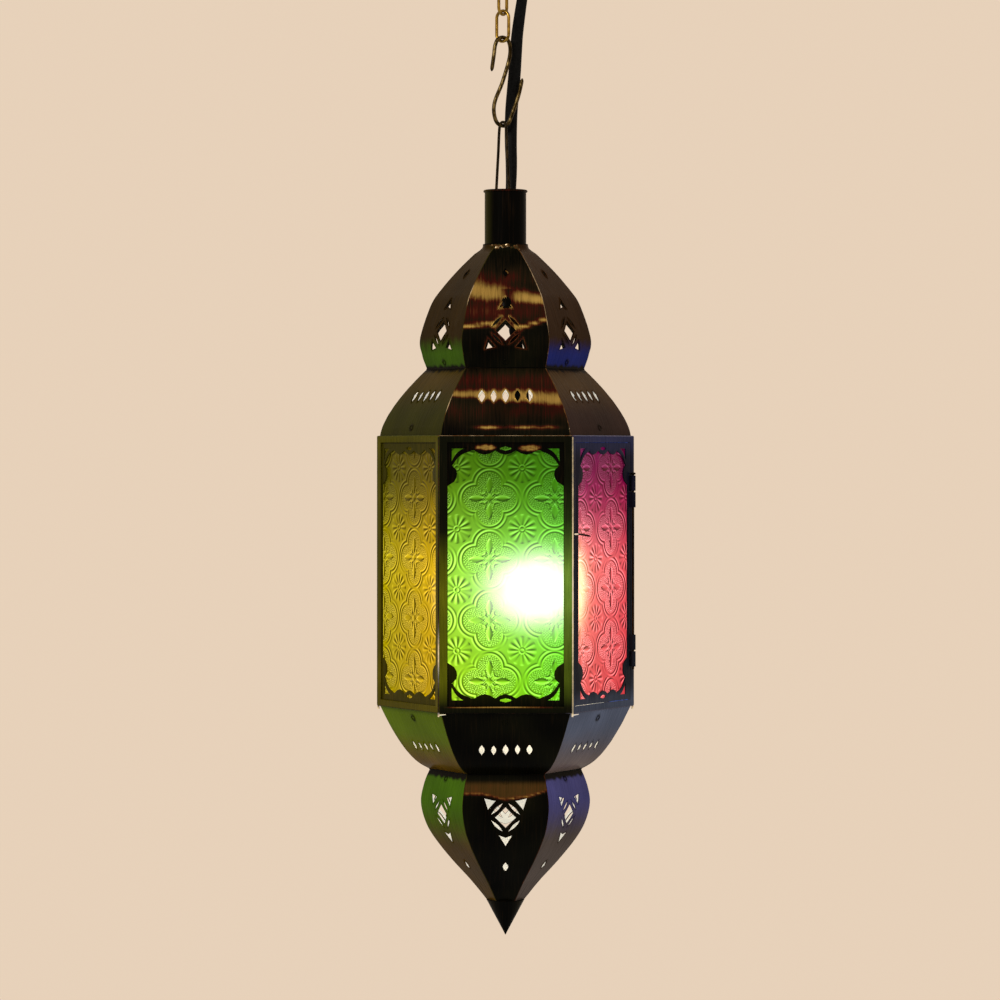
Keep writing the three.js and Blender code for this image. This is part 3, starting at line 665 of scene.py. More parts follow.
sheet_lacquer = lacquered("sheet_lacquer")
tube_lacquer = lacquered("tube_lacquer", streaks=(700, 700, 30))
rim_arc = [
    (neck_radius + rim * math.cos(a), lantern_at(rim) + rim * math.sin(a))
    for a in np.linspace(math.pi / 2, -math.pi / 2, 11)
]
neck_profile = [
    (neck_radius - sheet, lantern_at(0.3 * mm)), (neck_radius - 0.4 * mm, lantern_at(0))
]
neck_profile += rim_arc
neck_profile += [(neck_radius, lantern_at(d)) for d in np.linspace(2.4 * mm, neck_length, 30)]
neck_profile += [(neck_radius - sheet, lantern_at(d)) for d in np.linspace(neck_length, 6 * mm, 8)]
neck = outward(made("neck_tube_rolled", *revolved(neck_profile, 120), tube_lacquer))
spots, across, drops = surface_of(neck)
# A painted highlight along the rim, patchy wear, and a painted olive sheen down the left side.
patches = wander_over(across, drops, 0.07, 4.0)
neck_wear_and_highlight = 0.02 + 0.24 * bump_at(drops, 0.9, 0.7) + 0.05 * patches
on_left = np.clip(-spots[:, 0] / neck_radius - 0.6, 0, 1)[:, None]
left_sheen = on_left * np.array((0.05, 0.045, 0.004))
finished_by_place(neck, neck_wear_and_highlight, left_sheen)
placed(neck, "lantern", "lacquered_metal", "neck_tube")
# The tin inside the lantern glows a little: painted light standing for the bulb's light on it.
glowing_inside_tin = finish(
    "glowing_inside_tin", [(0.34, 0.32, 0.28), (0.58, 0.55, 0.48)], 0.4, (0.4, 0.6), (90, 90, 90), 0.00008
)
wired(shader_of(glowing_inside_tin), {"Emission Color": (1.0, 0.98, 0.90, 1), "Emission Strength": 0.42})
# The onion's inner faces get a near black finish: painted shade inside the onion.
painted_shade_inside = finish(
    "painted_shade_inside",
    [(0.012, 0.010, 0.007), (0.035, 0.028, 0.018)],
    0.6,
    (0.45, 0.65),
    (90, 90, 90),
    0.00008,
)
placed(
    refined("hanger_plate", "neck_hanger_plate", 0.2 * mm, glowing_inside_tin),
    "lantern",
    "lacquered_metal",
    "hanger_plate",
)
grip_foot = lantern_at(plate_drop - 0.3 * mm)
grip_top = grip_foot + 22.8 * mm
grip_radius = 6 * mm
grip_thread = 4 * mm
thread_end = grip_foot - 5.8 * mm
grip_profile = [(0, grip_top), (3.9 * mm, grip_top), (4.4 * mm, grip_top - 0.6 * mm)]
for i in range(6):
    low = grip_foot + 20.4 * mm - 2.4 * mm * i
    waist = (4.0 + 0.12 * i) * mm
    grip_profile += [
        (waist + 0.55 * mm, low + 1.5 * mm),
        (waist + 0.55 * mm, low + 0.7 * mm),
        (waist, low + 0.4 * mm),
        (waist, low - 0.5 * mm),
    ]
grip_profile += [
    (5.2 * mm, grip_foot + 5 * mm), (grip_radius, grip_foot + 3 * mm), (grip_radius, grip_foot)
]
grip_profile += [(grip_thread, grip_foot), (grip_thread, thread_end), (0, thread_end)]
vertices, faces = revolved(grip_profile, 40)
grip_place = Matrix.Translation((3.5 * mm, 4.5 * mm, 0))
grip = outward(made("ribbed_cord_grip", moved(vertices, grip_place), faces, black_moulding))
placed(grip, "lantern", "black_plastic", "cord_grip")


# Pierced tiers
# Onion, shoulder, bowl and lower onion are six curved sheet panels each, cut, stamped and pierced
# over a block, bent, and soldered edge to edge. Punching leaves each hole a raised burr. Burrs,
# ridges and bands carry wear and painted highlights and reflections, and the side panels painted
# light from the panes.
cos30 = math.cos(math.pi / 6)
tan30 = math.tan(math.pi / 6)
seam_gap = 0.3 * mm
punch_reach = (-90 * mm, -2 * mm)
round_above, flat_below = 36.4 * mm, 42.5 * mm
onion_top, onion_height, onion_belly, waist = 39.0, 79.4, 56.5, 52.0
shoulder_top, shoulder_height = 118.7, 44.0
cage_top, cage_height, cage_radius = 163.0, 177.6, 85.0
bowl_top, bowl_height, lower_waist = 340.9, 41.7, 50.1
finial_top, finial_height, finial_belly, finial_end = 382.9, 86.0, 56.0, 12.5
tip_top = 469.2
edge_radius = 83.0
onion_neck = (13.75 + 0.3 + 1.2) / cos30


def spline(points, samples):
    """Drop and apothem in metres, on a curve through points of drop and radius in millimetres."""
    rows = []
    last = len(points) - 1
    for i in range(samples + 1):
        t = last * i / samples
        k = min(int(t), last - 1)
        f = t - k
        p = [np.array(points[min(max(j, 0), last)], float) for j in (k - 1, k, k + 1, k + 2)]
        v0, v1 = 0.5 * (p[2] - p[0]), 0.5 * (p[3] - p[1])
        cubic = 2 * p[1] - 2 * p[2] + v0 + v1
        square = -3 * p[1] + 3 * p[2] - 2 * v0 - v1
        value = cubic * f**3 + square * f**2 + v0 * f + p[1]
        rows.append((value[0] * mm, value[1] * cos30 * mm))
    return rows


def onion_line(samples):
    reach = onion_belly - onion_neck
    return spline(
        [
            (onion_top - 2.6, onion_neck - 1.9),
            (onion_top + 0.4, onion_neck - 0.2),
            (onion_top + 0.175 * onion_height, onion_neck + 0.35 * reach),
            (onion_top + 0.341 * onion_height, onion_neck + 0.644 * reach),
            (onion_top + 0.475 * onion_height, onion_neck + 0.822 * reach),
            (onion_top + 0.742 * onion_height, onion_belly),
            (onion_top + 0.883 * onion_height, waist + 0.71 * (onion_belly - waist)),
            (onion_top + onion_height, waist),
        ],
        samples,
    )


def shoulder_line(samples):
    rows = []
    for i in range(samples + 1):
        share = i / samples
        radius = waist + (edge_radius - waist) * (1 - (1 - share) ** 1.5)
        rows.append(((shoulder_top + share * shoulder_height) * mm, radius * cos30 * mm))
    return rows


def bowl_line(samples):
    reach = edge_radius - lower_waist
    shares = ((0, 1), (0.34, 0.78), (0.66, 0.52), (0.88, 0.26), (1, 0))
    return spline(
        [(bowl_top + a * bowl_height, lower_waist + b * reach) for a, b in shares], samples
    )


def finial_line(samples):
    reach = finial_belly - finial_end
    return spline(
        [
            (finial_top, lower_waist),
            (finial_top + 0.11 * finial_height, lower_waist + 0.64 * (finial_belly - lower_waist)),
            (finial_top + 0.253 * finial_height, finial_belly),
            (finial_top + 0.41 * finial_height, finial_end + 0.924 * reach),
            (finial_top + 0.545 * finial_height, finial_end + 0.765 * reach),
            (finial_top + 0.703 * finial_height, finial_end + 0.51 * reach),
            (finial_top + 0.853 * finial_height, finial_end + 0.237 * reach),
            (finial_top + finial_height, finial_end),
        ],
        samples,
    )


def marquise(x, drop, width, height, turn=0.0, steps=7):
    """A pointed oval as points across and down, in millimetres."""
    points = []
    for side, start in ((1, 0), (-1, 1)):
        for i in range(steps):
            share = start + (-i if start else i) / steps
            across = side * width / 2 * math.sin(math.pi * share)
            along = height * (0.5 - share)
            turned = x + across * math.cos(turn) + along * math.sin(turn)
            points.append((turned, drop + across * math.sin(turn) - along * math.cos(turn)))
    return points


def slot_row(drop, width, height):
    return [
        marquise(
            7.7 * k,
            drop + 0.25 * math.sin(5 * k),
            width * (1 + 0.08 * math.sin(3 * k + 1)),
            height * (1 + 0.05 * math.cos(4 * k)),
        )
        for k in range(-2, 3)
    ]


def lattice(centre, dart, eye, up):
    """The stamped star: a diamond, four petals, two corner darts, a point and an eye."""
    d = 7.0
    shapes = [[(d, centre), (0, centre - d), (-d, centre), (0, centre + d)]]
    for sx in (-1, 1):
        for sz in (-1, 1):
            shapes.append(marquise(5.6 * sx, centre - 5.6 * sz, 2.3, 11.0, -sx * sz * math.pi / 4))
    for side in (-1, 1):
        shapes.append(
            [
                (2 * d * side, centre + up * 1.8 * d),
                (0.88 * d * side, centre + up * 1.56 * d),
                (1.64 * d * side, centre + up * 0.7 * d),
            ]
        )
    shapes.append(
        [
            (-0.67 * d, centre - up * dart),
            (0, centre - up * (dart + 0.25 * d)),
            (0.67 * d, centre - up * dart),
            (0, centre - up * (dart + 1.15 * d)),
        ]
    )
    shapes.append(marquise(0, centre - up * eye, 0.56 * d, 0.92 * d))
    return shapes


def line_at(line, drop):
    """Apothem and slope of an outline at a drop."""
    drops = [row[0] for row in line]
    apothems = [row[1] for row in line]
    here = np.interp(drop, drops, apothems)
    above, below = (np.interp(drop + step, drops, apothems) for step in (-mm, mm))
    return float(here), float((below - above) / (2 * mm))


def smoothstep(value, low, high):
    share = np.clip((value - low) / (high - low), 0, 1)
    return share * share * (3 - 2 * share)


def linear(*colour):
    """A colour given as 0 to 255 on a screen, as light."""
    share = np.array(colour) / 255
    return np.where(share < 0.04045, share / 12.92, ((share + 0.055) / 1.055) ** 2.4)


onion_crease = ((-30, -11, -2, 3, 10, 25), (92.2, 90.4, 91.5, 91.8, 92.9, 87.6), 0.30)
finial_crease = (
    (-26, -15, -5, 0, 4, 16, 28), (395.2, 395.2, 397.6, 398.8, 398.2, 396.4, 392.8), 0.34
)
shoulder_crease = ((-40, 40), (157.6, 157.6), 0.12)
bowl_crease = ((-40, 40), (346.5, 346.5), 0.06)


def stamped(x, drop, crease, seed):
    """How far the sheet stands out of its outline at a place: hammer dents, and the crease."""
    height = 0.14 * mm * wander(x, drop, 0, 42, seed) + 0.05 * mm * wander(x, drop, 3, 150, seed)
    along, drops, depth = crease
    middle = np.interp(x / mm, along, drops) * mm + 0.7 * mm * wander(x, 0, 7, 130, seed)
    return height + depth * mm * math.exp(-(((drop - middle) / (0.8 * mm)) ** 2))


def rounded_top(x, y, drop):
    """Draws the top of an onion panel in round the neck tube, where it is hammered to the tube."""
    share = 1 - smoothstep(drop, round_above, flat_below)
    radius = 14.9 * mm
    angle = math.atan2(x, -y)
    return x + (radius * math.sin(angle) - x) * share, y + (-radius * math.cos(angle) - y) * share


def panel(name, line, across, piercings, crease, lugs, seed, to_tube=False):
    """One curved panel as a closed sheet, its holes cut through and their burrs laid on."""
    rows = len(line)
    vertices, faces = [], []
    for inner in (False, True):
        for i, (drop, apothem) in enumerate(line):
            before, after = line[max(i - 1, 0)], line[min(i + 1, rows - 1)]
            length = math.hypot(after[0] - before[0], after[1] - before[1])
            out, up = (after[0] - before[0]) / length, (after[1] - before[1]) / length
            if i in (0, rows - 1):
                out, up = max(out, 0.65), 0
            depth = 0.65 * sheet if inner else 0
            for j in range(across + 1):
                share = 2 * j / across - 1
                here = apothem - depth * out
                half = (here - seam_gap) * tan30
                x = share * half
                lift = stamped(x, drop, crease, seed) * min(1, 3 * (1 - abs(share)))
                y = -here - lift * out
                if to_tube:
                    x, y = rounded_top(x, y - depth * out, drop)
                    y += depth * out
                    x *= 1 - 0.4 * depth / radius_of(x, y)
                vertices.append((x, y, lantern_at(drop) + (depth * -up) + lift * up))
    n = across + 1
    layer = rows * n
    for i in range(rows - 1):
        for j in range(across):
            a = i * n + j
            faces.append((a, a + 1, a + n + 1, a + n))
            faces.append((layer + a, layer + a + n, layer + a + n + 1, layer + a + 1))
    for i in range(rows - 1):
        for j, flip in ((0, False), (across, True)):
            a = i * n + j
            side = (a, a + n, layer + a + n, layer + a)
            faces.append(side[::-1] if flip else side)
    for j in range(across):
        a, b = j, (rows - 1) * n + j
        faces.append((a, layer + a, layer + a + 1, a + 1))
        faces.append((b, b + 1, layer + b + 1, layer + b))
    sheet_piece = outward(made(name, vertices, faces, sheet_lacquer))
    tool_vertices, tool_faces = [], []
    for outline in piercings:
        start = len(tool_vertices)
        count = len(outline)
        for y in punch_reach:
            tool_vertices += [(x * mm, y, lantern_at(drop * mm)) for x, drop in outline]
        tool_faces.append(tuple(range(start, start + count)))
        tool_faces.append(tuple(range(start + 2 * count - 1, start + count - 1, -1)))
        for k in range(count):
            m = (k + 1) % count
            tool_faces.append((start + k, start + count + k, start + count + m, start + m))
    punch = outward(made("punch_tool", tool_vertices, tool_faces))
    holes = sheet_piece.modifiers.new("piercings", "BOOLEAN")
    holes.operation = "DIFFERENCE"
    holes.solver = "EXACT"
    holes.object = punch
    settled(sheet_piece, 35, sheet_lacquer, painted_shade_inside if to_tube else glowing_inside_tin)
    bpy.data.objects.remove(punch)
    given_inner_finish(sheet_piece.data, line)
    return burred(sheet_piece, line, piercings, lugs)


def radius_of(x, y):
    return max(math.hypot(x, y), 1e-6)


def given_inner_finish(mesh, line):
    """Gives the inner faces the panel's second material: glowing tin, or the onion's dark painted
    shade.
    """
    for face in mesh.polygons:
        apothem, slope = line_at(line, mouth - face.center.z)
        facing = face.normal.y + slope * -face.normal.z
        if facing > 0.2 and -face.center.y < apothem - 0.3 * mm:
            face.material_index = 1


burr_radius = 0.24 * mm
lug_girth = 0.40 * mm


def burred(piece, line, piercings, lugs):
    """Adds the raised burr round each hole, and the ring of each lug."""
    bm = bmesh.new()
    bm.from_mesh(piece.data)
    rings = [(hole, burr_radius) for hole in piercings] + [(ring, lug_girth) for ring in lugs]
    for outline, radius in rings:
        points = []
        count = len(outline)
        for k in range(count):
            (x0, d0), (x1, d1) = outline[k], outline[(k + 1) % count]
            pieces = max(1, int(math.hypot(x1 - x0, d1 - d0) / 1.1))
            for q in range(pieces):
                x, drop = x0 + (x1 - x0) * q / pieces, d0 + (d1 - d0) * q / pieces
                apothem = line_at(line, drop * mm)[0]
                points.append((x * mm, -apothem - 0.1 * mm, lantern_at(drop * mm)))
        vertices, faces = swept(np.array(points), circle(radius, 7), closed=True)
        fresh = [bm.verts.new(v) for v in vertices]
        for face in faces:
            made_face = bm.faces.new([fresh[k] for k in face])
            made_face.smooth = True
    bm.to_mesh(piece.data)
    bm.free()
    return piece


def lug(drop, radius=1.9, x=0.0):
    """The ring of a small lanced and soldered tab."""
    return [
        (x + radius * math.cos(a), drop + radius * 0.85 * math.sin(a))
        for a in np.linspace(0, 2 * math.pi, 12, endpoint=False)
    ]


def near_outlines(x, drop, outlines, reach):
    """One at the edge of the given outlines, falling off over the reach, in millimetres."""
    corners = np.array([corner for outline in outlines for corner in outline])
    after = np.array(
        [outline[(i + 1) % len(outline)] for outline in outlines for i in range(len(outline))]
    )
    step = after - corners
    across, down = x[:, None] - corners[:, 0], drop[:, None] - corners[:, 1]
    share = np.clip((across * step[:, 0] + down * step[:, 1]) / (step**2).sum(1), 0, 1)
    gap = np.hypot(across - share * step[:, 0], down - share * step[:, 1]).min(1)
    return np.exp(-((gap / reach) ** 2))


def painted_reflection_band(x, drop, centre, tilt, half, taper, seed):
    """A painted gold reflection of a lamp across the panel, ragged above and cleaner below."""
    middle = centre + tilt * x + 0.8 * wander_over(x, 0 * x, 0.12, seed)
    depth = np.clip(half + taper * x, 1.6, 9)
    ragged = wander_over(x, 0 * x, 1.1, seed + 2) * 0.30
    off = (drop - middle) / depth + ragged
    return np.where(off < 0, np.exp(-(np.abs(off) ** 2.0)), np.exp(-(np.abs(off) ** 3.2)))


# The onion's front and back: a painted gold reflection band, dark red where that painted reflection
# fades, a painted highlight along the crease, and burrs bright with wear and painted highlight.
def onion_wear_and_highlight(x, drop, seed, star):
    band = painted_reflection_band(x, drop, 70.4, 0.15, 4.9, -0.07, seed)
    band *= 1 - 0.75 * bump_at(x, 1.5, 4.2) * (drop > 67)
    red = 0.34 * bump_at(drop, 82, 8.5) * np.where(x < 0, 1, 0.75)
    red += 0.30 * bump_at(drop, 59, 8) * (0.6 + 0.6 * wander_over(x, drop, 0.09, seed))
    ridge_drop = np.interp(x, *onion_crease[:2])
    along = np.clip(0.98 + 0.4 * wander_over(x, drop, 0.5, seed + 1), 0.75, 1.1)
    red = red * (drop < ridge_drop + 0.5)
    ridge_wear_and_highlight = 0.92 * bump_at(drop, ridge_drop, 1.35) * along * (np.abs(x) > 6)
    return 0.04 + 0.78 * band + red + ridge_wear_and_highlight + 0.42 * near_outlines(x, drop, star[:-1], 0.7)


# The shoulder's front and back: a painted gold reflection band with dark red where it fades, and
# bright patches on the lower crease and round the slots, of wear and painted highlight.
def shoulder_wear_and_highlight(x, drop, seed, slots):
    band = painted_reflection_band(x, drop, 136.9, 0.045, 3.3, 0.035, seed)
    red = 0.28 * bump_at(drop, 127, 7)
    red += 0.27 * bump_at(drop, 147, 8) * (0.7 + 0.5 * wander_over(x, drop, 0.08, seed))
    patches = 0.9 * bump_at(x, -11, 8) + 0.75 * bump_at(x, 12, 9) + 0.5 * bump_at(x, 28, 7)
    lower = patches * bump_at(drop + 0.8 * wander_over(x, 0 * x, 0.2, seed + 3), 157.4, 1.2)
    return 0.04 + 0.74 * band + red + lower + 0.6 * near_outlines(x, drop, slots, 0.8)


def bowl_wear_and_highlight(x, drop, seed, slots):
    cloud = 0.06 * wander_over(x, drop, 0.05, seed)
    return 0.02 + cloud + 0.10 * near_outlines(x, drop, slots, 0.7)


# The lower onion's front and back: a band above the crease, a painted highlight along the crease,
# and faintly bright burrs.
def finial_wear_and_highlight(x, drop, seed, star):
    ridge_drop = np.interp(x, *finial_crease[:2])
    above = 0.24 * smoothstep(drop, 386, 390) * (drop < ridge_drop)
    above *= 0.85 + 0.4 * wander_over(x, drop, 0.12, seed)
    along = np.clip(0.85 + 0.7 * wander_over(x, drop, 0.5, seed + 1), 0.3, 1.1)
    ridge_wear_and_highlight = 0.55 * bump_at(drop, ridge_drop, 0.85) * along
    return 0.02 + above + ridge_wear_and_highlight + 0.12 * near_outlines(x, drop, star, 0.7)


upper_star = lattice(94.2, 14.2, 38.0, 1)
lower_star = lattice(410.3, 11.6, 34.0, -1)
shoulder_slots = slot_row(137.0, 4.4, 8.4)
bowl_slots = slot_row(365.4, 3.9, 7.1)
tiers = {
    "onion_panel": (onion_line(76), 44, upper_star, onion_crease, [lug(114.6, 1.7)], onion_wear_and_highlight),
    "shoulder_panel": (
        shoulder_line(44), 56, shoulder_slots, shoulder_crease, [lug(157.4)], shoulder_wear_and_highlight
    ),
    "bowl_panel": (bowl_line(44), 56, bowl_slots, bowl_crease, [lug(346.6)], bowl_wear_and_highlight),
    "finial_panel": (finial_line(76), 44, lower_star, finial_crease, [lug(387.2, 1.7)], finial_wear_and_highlight),
}
# Painted light on each tier's left and right side panels: the colour above, the colour below, and
# the drops over which one turns into the other, greenish on the left and bluish on the right.
left_painted_light = {
    "onion_panel": (linear(32, 20, 1), linear(44, 72, 3), 97, 109),
    "shoulder_panel": (linear(50, 37, 2), linear(36, 36, 2), 124, 150),
    "bowl_panel": (linear(74, 92, 3), linear(84, 60, 6), 354, 380),
    "finial_panel": (linear(52, 84, 3), linear(62, 43, 5), 402, 436),
}
right_painted_light = {
    "onion_panel": (linear(34, 17, 3), linear(10, 22, 80), 98, 111),
    "shoulder_panel": (linear(54, 36, 14), linear(33, 19, 15), 126, 152),
    "bowl_panel": (linear(70, 76, 92), linear(94, 80, 74), 350, 384),
    "finial_panel": (linear(58, 56, 98), linear(62, 52, 46), 400, 428),
}
# Drops at each tier's top and foot where its painted light fades out: painted shadow under the tier
# above, and painted shade where a tier turns in.
shaded_ends = {
    "onion_panel": (20, 117.4),
    "shoulder_panel": (120.4, 190),
    "bowl_panel": (300, 384),
    "finial_panel": (386.4, 500),
}
faces_round = ["front", "front_right", "back_right", "back", "back_left", "front_left"]
front_and_back, right_sides, left_sides = (0, 3), (1, 2), (4, 5)
for tier, (line, across, piercings, crease, lugs, wear_and_highlight_of) in tiers.items():
    first = panel(
        tier + "_first",
        line,
        across,
        piercings,
        crease,
        lugs,
        len(tier),
        to_tube=tier == "onion_panel",
    )
    spots, x, drop = surface_of(first)
    for k, face in enumerate(faces_round):
        sheet_piece = bpy.data.objects.new(f"{tier}_{face}_sheet", first.data.copy())
        bpy.context.collection.objects.link(sheet_piece)
        cloud = wander_over(x, drop, 0.045, 3.7 * k)[:, None]
        # Front and back get wear, painted highlights and a faint tint. The sides get painted light
        # from the panes, fading out into painted shade at the tier's ends.
        if k in front_and_back:
            wear_and_highlight = wear_and_highlight_of(x, drop, 3.7 * k, piercings)
            tint_and_painted_light = np.clip(0.4 + cloud, 0, 1) * linear(9, 9, 3)
            if tier == "finial_panel":
                brown_above_crease = smoothstep(drop, 386, 390) * (drop < np.interp(x, *finial_crease[:2]))
                tint_and_painted_light = tint_and_painted_light + brown_above_crease[:, None] * linear(54, 36, 10)
        else:
            wear_and_highlight = 0.04 + 0.10 * near_outlines(x, drop, piercings + lugs, 0.6)
            above, below, high, low = (left_painted_light if k in left_sides else right_painted_light)[tier]
            edge = smoothstep(drop + 2.2 * wander_over(x, drop, 0.22, 2.0 + k), high, low)[:, None]
            head, foot = shaded_ends[tier]
            ragged = 1.6 * wander_over(x, 0 * x, 0.25, 5.0)
            fading = smoothstep(foot - drop + ragged, -0.4, 1.8)
            fading *= smoothstep(drop - head + ragged, -0.6, 1.2)
            tint_and_painted_light = 1.15 * (above + (below - above) * edge) * (1 + 0.3 * cloud) * fading[:, None]
            tint_and_painted_light *= 1 - 0.8 * near_outlines(x, drop, lugs, 1.0)[:, None]
        finished_by_place(sheet_piece, wear_and_highlight, tint_and_painted_light)
        sheet_piece.rotation_euler.z = k * math.pi / 3
        placed(sheet_piece, "lantern", "lacquered_metal", f"{tier}_{face}")
    bpy.data.objects.remove(first)


def pushed_tab(line, x, drop, half_width, half_height, bulge, sink):
    """The domed tab of metal that a punch leaves hanging in a hole, as vertices and faces."""
    vertices, faces = [], []
    rings, spokes = 6, 24
    for ring in range(rings + 1):
        share = ring / rings
        for spoke in range(spokes):
            angle = 2 * math.pi * spoke / spokes
            across = x + half_width * share * math.cos(angle)
            sine = math.sin(angle)
            down = drop + half_height * share * sine * (1.0 if sine > 0 else 1.15)
            apothem = line_at(line, down * mm)[0]
            out = apothem / mm + bulge * math.sqrt(max(1 - share * share, 0)) - sink
            vertices.append((across * mm, -out * mm, lantern_at(down * mm)))
    for ring in range(rings):
        for spoke in range(spokes):
            a, b = ring * spokes + spoke, ring * spokes + (spoke + 1) % spokes
            faces.append((a, b, b + spokes, a + spokes))
    return vertices, faces


def joined(meshes):
    """Several sets of vertices and faces as one."""
    vertices, faces = [], []
    for some, its_faces in meshes:
        faces += [tuple(len(vertices) + k for k in face) for face in its_faces]
        vertices += list(some)
    return vertices, faces


onion_rows, shoulder_rows = tiers["onion_panel"][0], tiers["shoulder_panel"][0]
hanging_tabs = [
    (onion_rows, 0.5, 76.6, 3.9, 4.6, 1.9, 1.0),
    (onion_rows, 0.3, 56.4, 2.0, 3.3, -0.7, 0.5),
    (onion_rows, 5.6, 94.2, 3.4, 5.2, 0.3, 1.3),
    (onion_rows, 5.7, 99.8, 3.3, 3.3, 0.3, 1.5),
    (onion_rows, 5.6, 88.6, 3.3, 3.3, 0.3, 1.3),
    (shoulder_rows, 7.7, 137.1, 2.1, 4.1, -1.0, 0.8),
]
for k in front_and_back:
    tabs_here = hanging_tabs if k == 0 else hanging_tabs[:2]
    tabs_vertices, tabs_faces = joined(pushed_tab(*tab) for tab in tabs_here)
    turned_tabs = moved(tabs_vertices, Matrix.Rotation(k * math.pi / 3, 4, "Z"))
    tabs = made(f"{faces_round[k]}_pushed_tabs", turned_tabs, tabs_faces, sheet_lacquer)
    flat = np.array(tabs_vertices) / mm
    tab_x, tab_drop = flat[:, 0], mouth / mm - flat[:, 2]
    # A painted gold highlight on the dart's lip, a painted crescent highlight in the eye, and
    # scored lines higher up.
    lip = 0.75 * bump_at(tab_drop, 81.0, 1.0)
    lip += 0.6 * bump_at(tab_x, -2.9, 0.8) * bump_at(tab_drop, 77, 3)
    crescent_highlight = 0.9 * bump_at(np.hypot(tab_x + 0.2, tab_drop - 56.8), 2.0, 0.45)
    crescent_highlight *= (tab_x > 0) * (tab_drop < 56.5)
    scored = np.clip(np.sin(4 * (tab_x + tab_drop)), 0, 1)
    hatched = 0.5 * (tab_drop > 85) * (tab_drop < 91.9) * scored
    finished_by_place(tabs, 0.02 + lip + crescent_highlight + hatched)
    placed(tabs, "lantern", "lacquered_metal")


# Solder seams
# Thin beads of solder run down the six corners of each tier and round each joint between tiers.
# They are filed and lacquered over with the sheet, and carry wear and painted highlights here and
# there.
trim_lacquer = lacquered(
    "trim_lacquer", streaks=(300, 300, 300), gold=(0.66, 0.55, 0.36), roughness=(0.16, 0.32)
)


def bead_mesh(paths, radius, closed, seed):
    """Beads of solder along several paths, as one mesh, with a slightly uneven girth."""

    def bead(index, path):
        def swell(share):
            return 1 + 0.22 * wander(40 * share + index, 0.3, 0.7, 1, seed)

        return swept(np.array(path), circle(radius, 8), closed=closed, girth=swell)

    return joined(bead(index, path) for index, path in enumerate(paths))


def corner_paths(line, inset):
    paths = []
    for k in range(6):
        angle = math.pi / 3 * k
        path = []
        for drop, apothem in line:
            radius = apothem / cos30 - inset
            radius += (14.6 * mm - radius) * (1 - smoothstep(drop, round_above, flat_below))
            path.append((radius * math.cos(angle), radius * math.sin(angle), lantern_at(drop)))
        paths.append(path)
    return paths


def corner_of(spots):
    """The nearest corner of the lantern, counted round from the right, for each place."""
    return np.rint(np.degrees(np.arctan2(spots[:, 1], spots[:, 0])) / 60).astype(int) % 6


seam_inset = 0.42 * mm
seam_radius = 0.36 * mm
for tier in tiers:
    seam_paths = corner_paths(tiers[tier][0][::2], seam_inset)
    seams = made(
        tier + "_corner_seams", *bead_mesh(seam_paths, seam_radius, False, len(tier)), trim_lacquer
    )
    spots, x, drop = surface_of(seams)
    corner = corner_of(spots)
    uneven = wander_over(drop, 10.0 * corner, 0.3, 2.0)
    # The seams on the front left corner and its opposite are bright where the painted reflection
    # bands cross them, the front right seam carries a painted highlight line, and the left corners
    # carry painted olive light.
    left = 0.9 * bump_at(drop, 71, 9) + 0.95 * bump_at(drop, 142, 8)
    right = (0.46 + 0.25 * bump_at(drop, 75, 20)) * (drop < 165) + 0.25 * (drop > 380)
    wear_and_highlight = 0.06 + 0.10 * uneven + np.where(np.isin(corner, (1, 4)), left, 0)
    wear_and_highlight += np.where(corner == 5, right, 0)
    olive = np.where(np.isin(corner, (4, 2)), 1.0, 0.25)[:, None] * linear(44, 38, 8)
    finished_by_place(seams, wear_and_highlight, olive)
    placed(seams, "lantern", "lacquered_metal")


def hexagon_path(radius, drop, each=14):
    points = []
    for k in range(6):
        a, b = math.pi / 3 * k, math.pi / 3 * (k + 1)
        for q in range(each):
            t = q / each
            x = radius * ((1 - t) * math.cos(a) + t * math.cos(b))
            y = radius * ((1 - t) * math.sin(a) + t * math.sin(b))
            points.append((x, y, lantern_at(drop)))
    return points


collar_radius = 14.55 * mm
ring_joints = [
    (waist - 0.1, shoulder_top - 0.15, 0.5),
    (edge_radius + 0.1, cage_top - 0.15, 0.5),
    (edge_radius + 0.1, bowl_top - 0.15, 0.5),
    (lower_waist - 0.1, finial_top - 0.15, 0.5),
    (finial_end - 0.3, tip_top - 0.15, 0.4),
]
rings = [
    bead_mesh([hexagon_path(radius * mm, drop * mm)], bead * mm, True, drop)
    for radius, drop, bead in ring_joints
]
collar = [
    (collar_radius * math.cos(a), collar_radius * math.sin(a), lantern_at(36.3 * mm))
    for a in np.linspace(0, 2 * math.pi, 60, endpoint=False)
]
joints = made(
    "tier_joint_beads", *joined(rings + [bead_mesh([collar], 0.5 * mm, True, 3.0)]), trim_lacquer
)
spots, across, drop = surface_of(joints)
patchy = wander_over(across, spots[:, 1] / mm + drop, 0.11, 1.5)
finished_by_place(joints, 0.04 + 0.10 * patchy)
placed(joints, "lantern", "lacquered_metal")

blob_chance = random.Random(11)
blob_sites = [
    (math.radians(-90 + 7 * i + blob_chance.uniform(-3, 3)), blob_chance.uniform(0.9, 1.9))
    for i in range(-5, 5)
]


